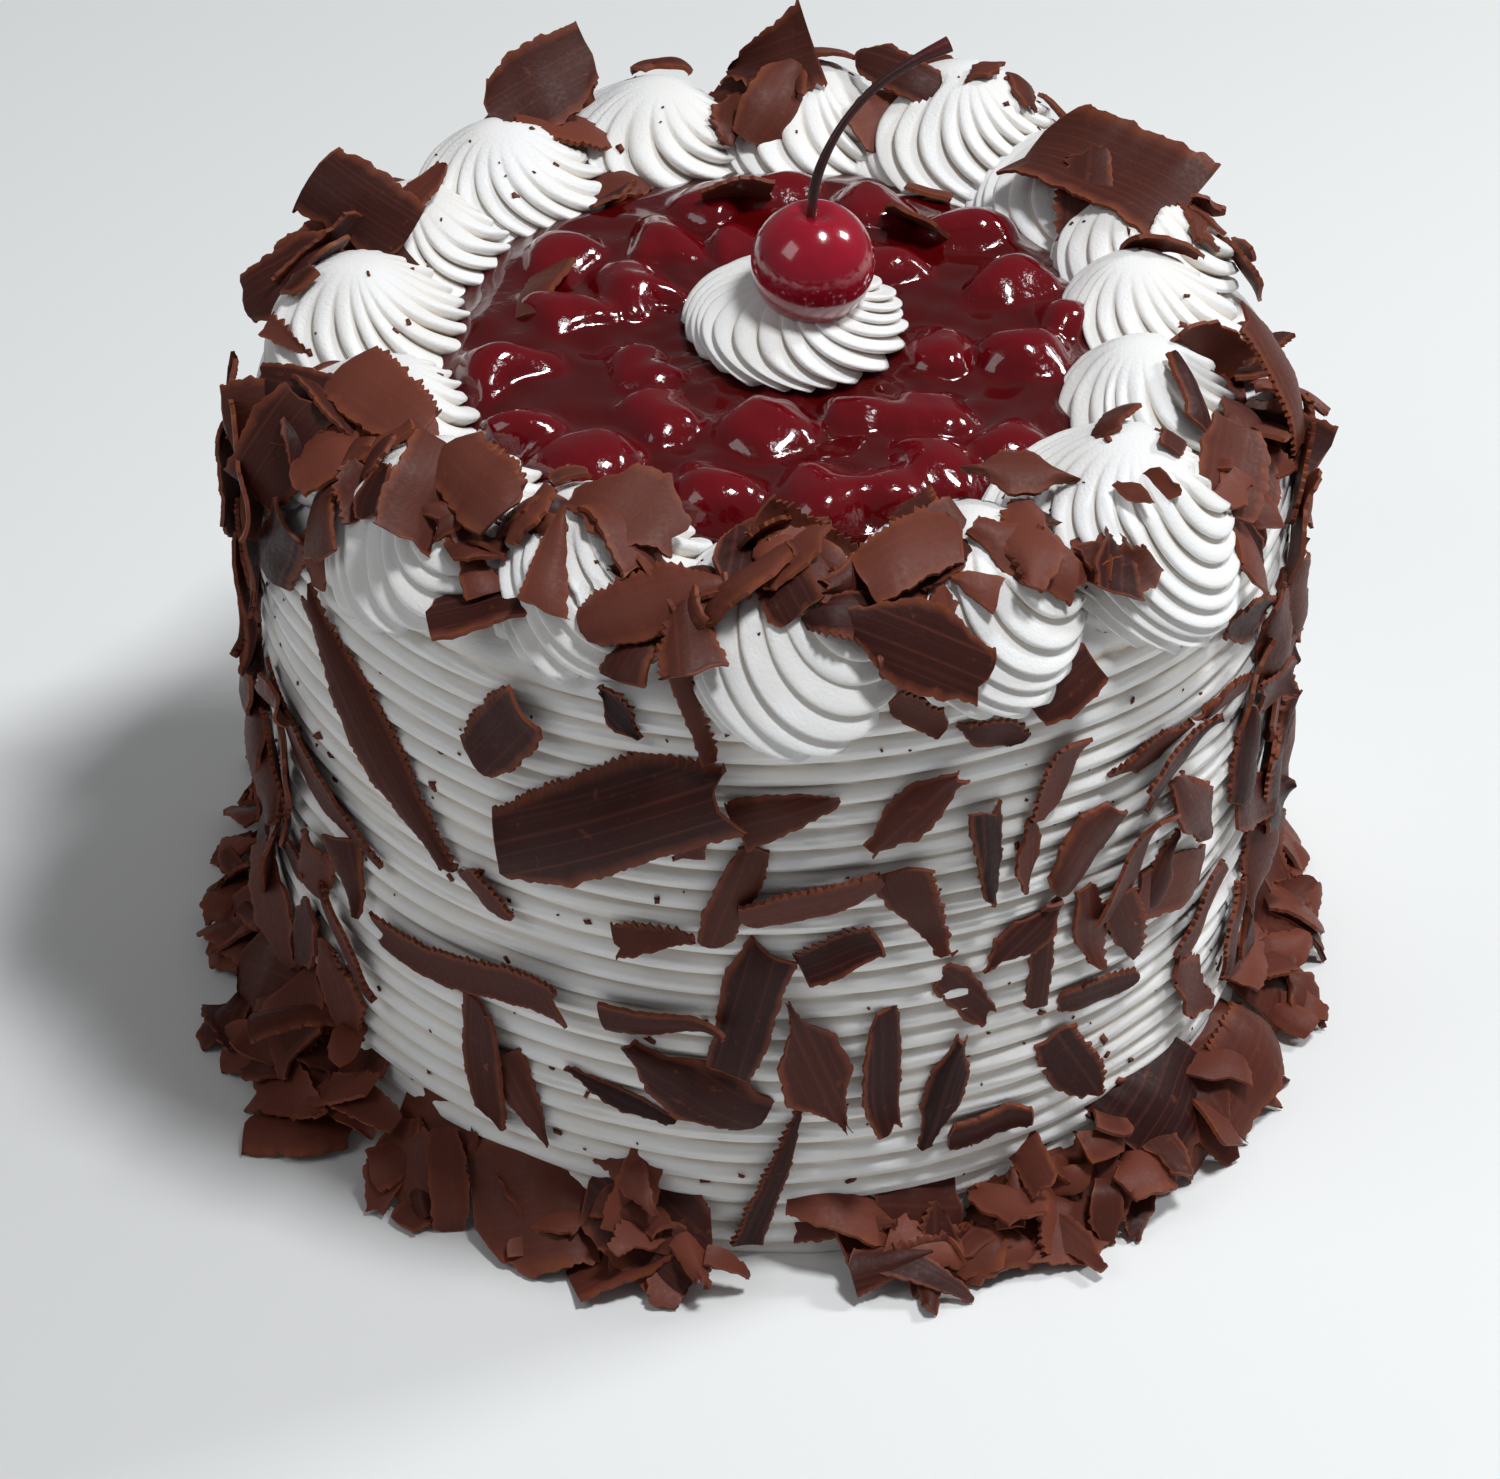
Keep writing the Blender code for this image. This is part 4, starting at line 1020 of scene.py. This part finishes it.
# The unseen rear follows the solid's own draws, with smaller ones between.
REAR_LARGE = 6
REAR_SMALL = 34
print("side shavings with a place of their own:", len(SIDE_SHARDS) + len(SIDE_CHIPS))

# %% Placing them on the side
def side_place(turn, height, slant, lift, tilt=0.0):
    """X runs round the cake, Y up and Z outwards, before the slant and the tilt turn them."""
    angle = math.radians(turn)
    outward = Vector((math.cos(angle), math.sin(angle), 0.0))
    along = Vector((-outward.y, outward.x, 0.0))
    axes = Matrix((along, (0.0, 0.0, 1.0), outward)).transposed().to_4x4()
    spot = outward * lift + Vector((0.0, 0.0, height))
    turned = axes @ Matrix.Rotation(math.radians(slant), 4, "Z")
    return Matrix.Translation(spot) @ turned @ Matrix.Rotation(math.radians(tilt), 4, "X")


def crest_radius(height):
    """How far out the tops of the ridges are."""
    return SIDE_RADIUS + (BASE_RADIUS - SIDE_RADIUS) * (1.0 - height / TOP_HEIGHT) + COMB_DEPTH


def side_curl(length, slant):
    """The angle that a shaving bends through when it follows the side."""
    return length / SIDE_RADIUS * math.cos(math.radians(slant)) ** 2 + 0.1


def add_side_shaving(bm, turn, height, length, width, slant, draw, kind, teeth, tone):
    tilt = draw.choice((-1, 1)) * draw.uniform(7, 22)
    lift = crest_radius(height) + 0.2 * MM + 0.5 * width * math.sin(math.radians(abs(tilt)))
    add_shaving(bm, side_place(turn, height, slant, lift, tilt), length, width,
                side_curl(length, slant), draw, kind, teeth, True, tone, draw.uniform(-1.1, 0.3))


bm = new_chocolate()
draw = random.Random(200)
for turn, height, length, width, slant, kind, teeth, tone in SIDE_SHARDS:
    add_side_shaving(bm, turn, height * MM, length * MM, width * MM, slant, draw, kind, teeth, tone)
for turn, height, length, width, slant in SIDE_CHIPS:
    kind = draw.choice(KINDS)
    add_side_shaving(bm, turn, height * MM, 1.12 * length * MM, 1.15 * width * MM, slant, draw, kind,
                     draw.random() < 0.55, draw.uniform(0.0, 0.6))
rear = random.Random(300)
for index in range(REAR_LARGE):
    turn = 2.0 + 184.0 * (index + rear.uniform(0.2, 0.8)) / REAR_LARGE
    height, length = rear.uniform(34, 116) * MM, rear.uniform(18, 38) * MM
    width, slant = rear.uniform(9, 14) * MM, rear.uniform(-80, 80)
    add_side_shaving(bm, turn, height, length, width, slant, draw, "plate", True, draw.uniform(0.2, 0.6))
for index in range(REAR_SMALL):
    length = draw.uniform(11, 24) * MM
    add_side_shaving(bm, draw.uniform(8, 178), draw.uniform(30, 122) * MM, length,
                     length * draw.uniform(0.35, 0.6), draw.uniform(-90, 90), draw, draw.choice(KINDS),
                     draw.random() < 0.4, draw.uniform(0.1, 0.6))
finish_chocolate("side_shavings", bm, ["cake_body"])

# %% [markdown]
# Round the foot the shavings lie in heaps, bare in three places. The large ones lean from the
# side down to the table by the same rule and draws as in the solid. Several hundred smaller ones
# fill the heap between them: each gets a place under the heap's slope and leans roughly as the
# slope does.

# %% Heap round the foot
FOOT_GAPS = ((270, 278), (70, 76), (140, 147))
FOOT_SPACING = 15.0
HEAP_REACH = 20.0 * MM
HEAP_HEIGHT = 21.0 * MM
HEAP_CHIPS = 210


def in_foot_gap(turn, spare=0.0):
    return any(low - spare < turn % 360 < high + spare for low, high in FOOT_GAPS)


def add_foot_leaners(bm):
    draw = random.Random(400)
    own = random.Random(401)
    turn = 0.0
    while turn < 360.0:
        if not in_foot_gap(turn):
            slope = draw.uniform(24, 56)
            along = draw.uniform(15, 34) * MM
            up = draw.uniform(21, 31) * MM
            middle = BASE_RADIUS - 5.0 * MM + up / 2 * math.cos(math.radians(slope))
            place = ring_place(turn, middle, 0.0, draw.uniform(-35, 35), slope, 0.0)
            kind = own.choice(("plate", "petal", "plate", "wedge"))
            add_shaving(bm, place, along, up, own.uniform(0.1, 0.6), own, kind, own.random() < 0.4,
                        True, None, own.uniform(-0.4, 0.6), True)
        turn += FOOT_SPACING * draw.uniform(0.75, 1.25)


def add_foot_chips(bm):
    draw = random.Random(420)
    swell = slow_wobble(421, 9, 1.0, 8)
    made = 0
    while made < HEAP_CHIPS:
        turn = draw.uniform(0.0, 360.0)
        out = draw.uniform(0.0, 1.0)
        if in_foot_gap(turn, 1.5):
            continue
        heap = HEAP_HEIGHT * (0.75 + 0.42 * float(swell(math.radians(turn), 0.0))) * (1.0 - out) ** 0.8
        height = max(1.5 * MM, heap * draw.uniform(0.45, 1.0))
        place = ring_place(turn, BASE_RADIUS + 2.5 * MM + out * HEAP_REACH * 0.7, height,
                           draw.uniform(-90, 90), draw.uniform(-5, 50), draw.uniform(-35, 35))
        length = (9.0 + 17.0 * draw.random() ** 1.3) * MM
        # Painted light: the height term makes chips lighter the higher they lie on the heap, as if lit
        # from above.
        tone = draw.uniform(0.1, 0.9) + 0.3 * height / HEAP_HEIGHT
        add_shaving(bm, place, length, length * draw.uniform(0.35, 0.75), draw.uniform(0.1, 1.2),
                    draw, draw.choice(KINDS), draw.random() < 0.3, length > 11 * MM, tone,
                    draw.uniform(-0.6, 1.0))
        made += 1


bm = new_chocolate()
add_foot_leaners(bm)
add_foot_chips(bm)
finish_chocolate("foot_shavings", bm, ["cake_body"])

# %% [markdown]
# On the ring there are also dozens of smaller shavings. To rest on the cream, each is dropped: a
# ray straight down finds the surface and which way it faces, and the shaving lies on it with some
# tilt. One tree of all the cream and gel faces answers every ray.

# %% Small shavings on the ring
# Turn, distance, spread of each, how many.
CLUSTERS = (
    (164, 88, 9, 8, 12), (209, 92, 9, 7, 14), (232, 94, 8, 6, 8), (258, 92, 7, 7, 12),
    (272, 84, 6, 7, 10), (284, 94, 7, 6, 10), (350, 95, 8, 5, 10), (20, 94, 10, 5, 6),
    (64, 94, 12, 5, 6), (92, 88, 10, 7, 10), (122, 92, 8, 6, 8), (146, 94, 8, 5, 6),
    (332, 97, 7, 4, 8), (308, 96, 8, 5, 6), (190, 96, 6, 4, 6), (240, 84, 5, 5, 5),
)
# Single ones, most of them where the picture shows one: turn, distance, length, width, spin, tilt.
SINGLES = (
    (323, 77, 11, 6, 20, 8), (324, 89, 8, 5, -30, 6), (61, 61, 8, 6, 20, 10), (123, 61, 13, 8, 60, 12),
    (291, 76, 13, 8, 30, 14), (16, 77, 14, 8, 40, 25), (341, 81, 15, 8, 70, 30),
    (167, 86, 22, 13, 25, 28), (158, 79, 20, 12, 60, -20), (172, 93, 21, 12, 80, 35),
    (160, 93, 18, 11, 120, 30), (123, 62, 16, 10, 150, 25), (124, 78, 18, 11, 20, -25),
    (91, 74, 17, 10, 70, 30), (98, 74, 14, 9, 10, -20), (75, 78, 16, 10, 100, 20),
    (34, 74, 18, 9, 130, 25), (354, 81, 18, 10, 50, 35), (349, 96, 20, 12, 95, -30),
    (330, 98, 19, 12, 60, 30), (211, 80, 17, 11, 110, 25), (210, 91, 22, 14, 30, -30),
    (205, 99, 20, 13, 80, 30), (215, 98, 22, 12, 140, -25), (198, 97, 18, 12, 45, 35),
    (227, 92, 18, 12, 70, 28), (239, 97, 19, 11, 20, -30), (251, 83, 16, 10, 90, 20),
    (270, 77, 19, 12, 0, 30), (272, 85, 17, 11, 60, -28), (262, 97, 20, 10, 140, 30),
    (267, 92, 18, 12, 100, -25), (284, 94, 20, 13, 45, 30), (278, 96, 16, 11, 120, -20),
    (304, 82, 18, 10, 160, 22), (299, 92, 17, 10, 20, -25), (4, 92, 17, 10, 60, 30),
    (358, 98, 18, 10, 110, 30), (20, 96, 15, 9, 30, 25), (342, 95, 17, 11, 10, 32),
    (255, 89, 20, 7, 15, 40), (266, 83, 22, 7, 170, 35), (275, 82, 21, 8, 30, 42),
    (280, 88, 19, 8, 140, -35), (289, 84, 18, 9, 75, 30), (263, 90, 17, 9, 50, -30),
    (205, 88, 20, 8, 160, 40), (214, 88, 18, 9, 60, -35), (201, 92, 21, 8, 20, 35),
    (163, 82, 19, 8, 150, 40), (170, 88, 18, 9, 110, -40), (353, 88, 20, 8, 80, 45),
    (346, 92, 19, 9, 150, 40), (95, 82, 18, 9, 40, 35), (246, 92, 17, 8, 120, 35),
)

print("clusters:", len(CLUSTERS), " single ones:", len(SINGLES))

# %% Dropping them on the cream
TREE = tree_of(rosettes + [pool_piece, body_piece, star_piece])


def drop_place(turn, distance, spin, tilt, lift):
    angle = math.radians(turn)
    start = Vector((math.cos(angle) * distance, math.sin(angle) * distance, DROP_FROM))
    spot, facing, _, _ = TREE.ray_cast(start, STRAIGHT_DOWN)
    if spot is None:
        return None
    turned = facing.to_track_quat("Z", "Y").to_matrix().to_4x4()
    return (Matrix.Translation(spot + facing * lift) @ turned
            @ Matrix.Rotation(math.radians(spin), 4, "Z") @ Matrix.Rotation(math.radians(tilt), 4, "X"))


bm = new_chocolate()
draw = random.Random(700)
for turn, distance, turn_spread, spread, count in CLUSTERS:
    for _ in range(count):
        place = drop_place(draw.gauss(turn, 0.6 * turn_spread),
                           min(101.0, draw.gauss(distance, 0.6 * spread)) * MM,
                           draw.uniform(0, 360), draw.uniform(-35, 35), draw.uniform(0.3, 2.6) * MM)
        length = draw.uniform(7, 15) * MM
        if place:
            add_shaving(bm, place, length, length * draw.uniform(0.45, 0.8), draw.uniform(0.1, 1.2),
                        draw, draw.choice(KINDS), draw.random() < 0.35, length > 10 * MM,
                        None, draw.uniform(-0.5, 0.8))
for turn, distance, length, width, spin, tilt in SINGLES:
    lift = 0.3 * width * MM * abs(math.sin(math.radians(tilt))) + 0.6 * MM
    place = drop_place(turn, distance * MM, spin, tilt, lift)
    add_shaving(bm, place, 1.2 * length * MM, 1.2 * width * MM, draw.uniform(0.2, 0.9), draw,
                draw.choice(KINDS), draw.random() < 0.5, True, draw.uniform(0.1, 0.95),
                draw.uniform(-0.7, 1.2))
finish_chocolate("ring_chips", bm, ["rosette_%02d" % (index + 1) for index in range(len(ROSETTES))])

# %% [markdown]
# Three shavings stand in the gel, as in the solid.

# %% Shavings on the gel
GEL_SHARDS = ((101, 46, 15, 12, 50), (53, 46, 14, 12, 42), (166, 47, 20, 8, 25))
GEL_LEVEL = 147.4 * MM

bm = new_chocolate()
draw = random.Random(500)
for turn, distance, length, width, pitch in GEL_SHARDS:
    height = GEL_LEVEL + math.sin(math.radians(pitch)) * width * MM * 0.38
    place = ring_place(turn, distance * MM, height, 0, pitch, 0)
    add_shaving(bm, place, length * MM, width * MM, math.radians(23), draw, "plate", False, True, 0.5)
finish_chocolate("gel_shavings", bm, ["cherry_filling"])

# %% [markdown]
# Breaking chocolate leaves crumbs on all the cream. They are under two millimetres, so each is
# only a dented cube of twelve triangles, but there are hundreds, more of them low on the side.

# %% Crumbs
SIDE_CRUMBS = 520
TOP_CRUMBS = 130


def add_crumb(bm, place, size, draw):
    one = new_chocolate()
    verts = bmesh.ops.create_cube(one, size=size)["verts"]
    rim = one.verts.layers.float["rim"]
    tone = one.verts.layers.float["tone"]
    for vert in verts:
        vert.co = Vector([value * draw.uniform(0.35, 1.3) for value in vert.co])
        vert.co.z *= 0.5
        vert.co.x *= 1.5
        vert[rim] = draw.uniform(0.1, 0.8)
        vert[tone] = draw.random()
    bmesh.ops.transform(one, matrix=place, verts=one.verts)
    pour(bm, one)


bm = new_chocolate()
draw = random.Random(900)
for _ in range(SIDE_CRUMBS):
    height = (3.0 + 126.0 * draw.random() ** 1.3) * MM
    turn = draw.uniform(0, 360)
    lift = float(side_radius(math.radians(turn), height)) + 0.1 * MM
    place = side_place(turn, height, draw.uniform(0, 180), lift)
    add_crumb(bm, place, (0.4 + 1.3 * draw.random() ** 3) * MM, draw)
for _ in range(TOP_CRUMBS):
    place = drop_place(draw.uniform(0, 360), draw.uniform(66, 99) * MM, draw.uniform(0, 180), 0, 0.1 * MM)
    if place:
        add_crumb(bm, place, (0.4 + 1.0 * draw.random() ** 2) * MM, draw)
finish_chocolate("chocolate_crumbs", bm, ["cake_body"], None)
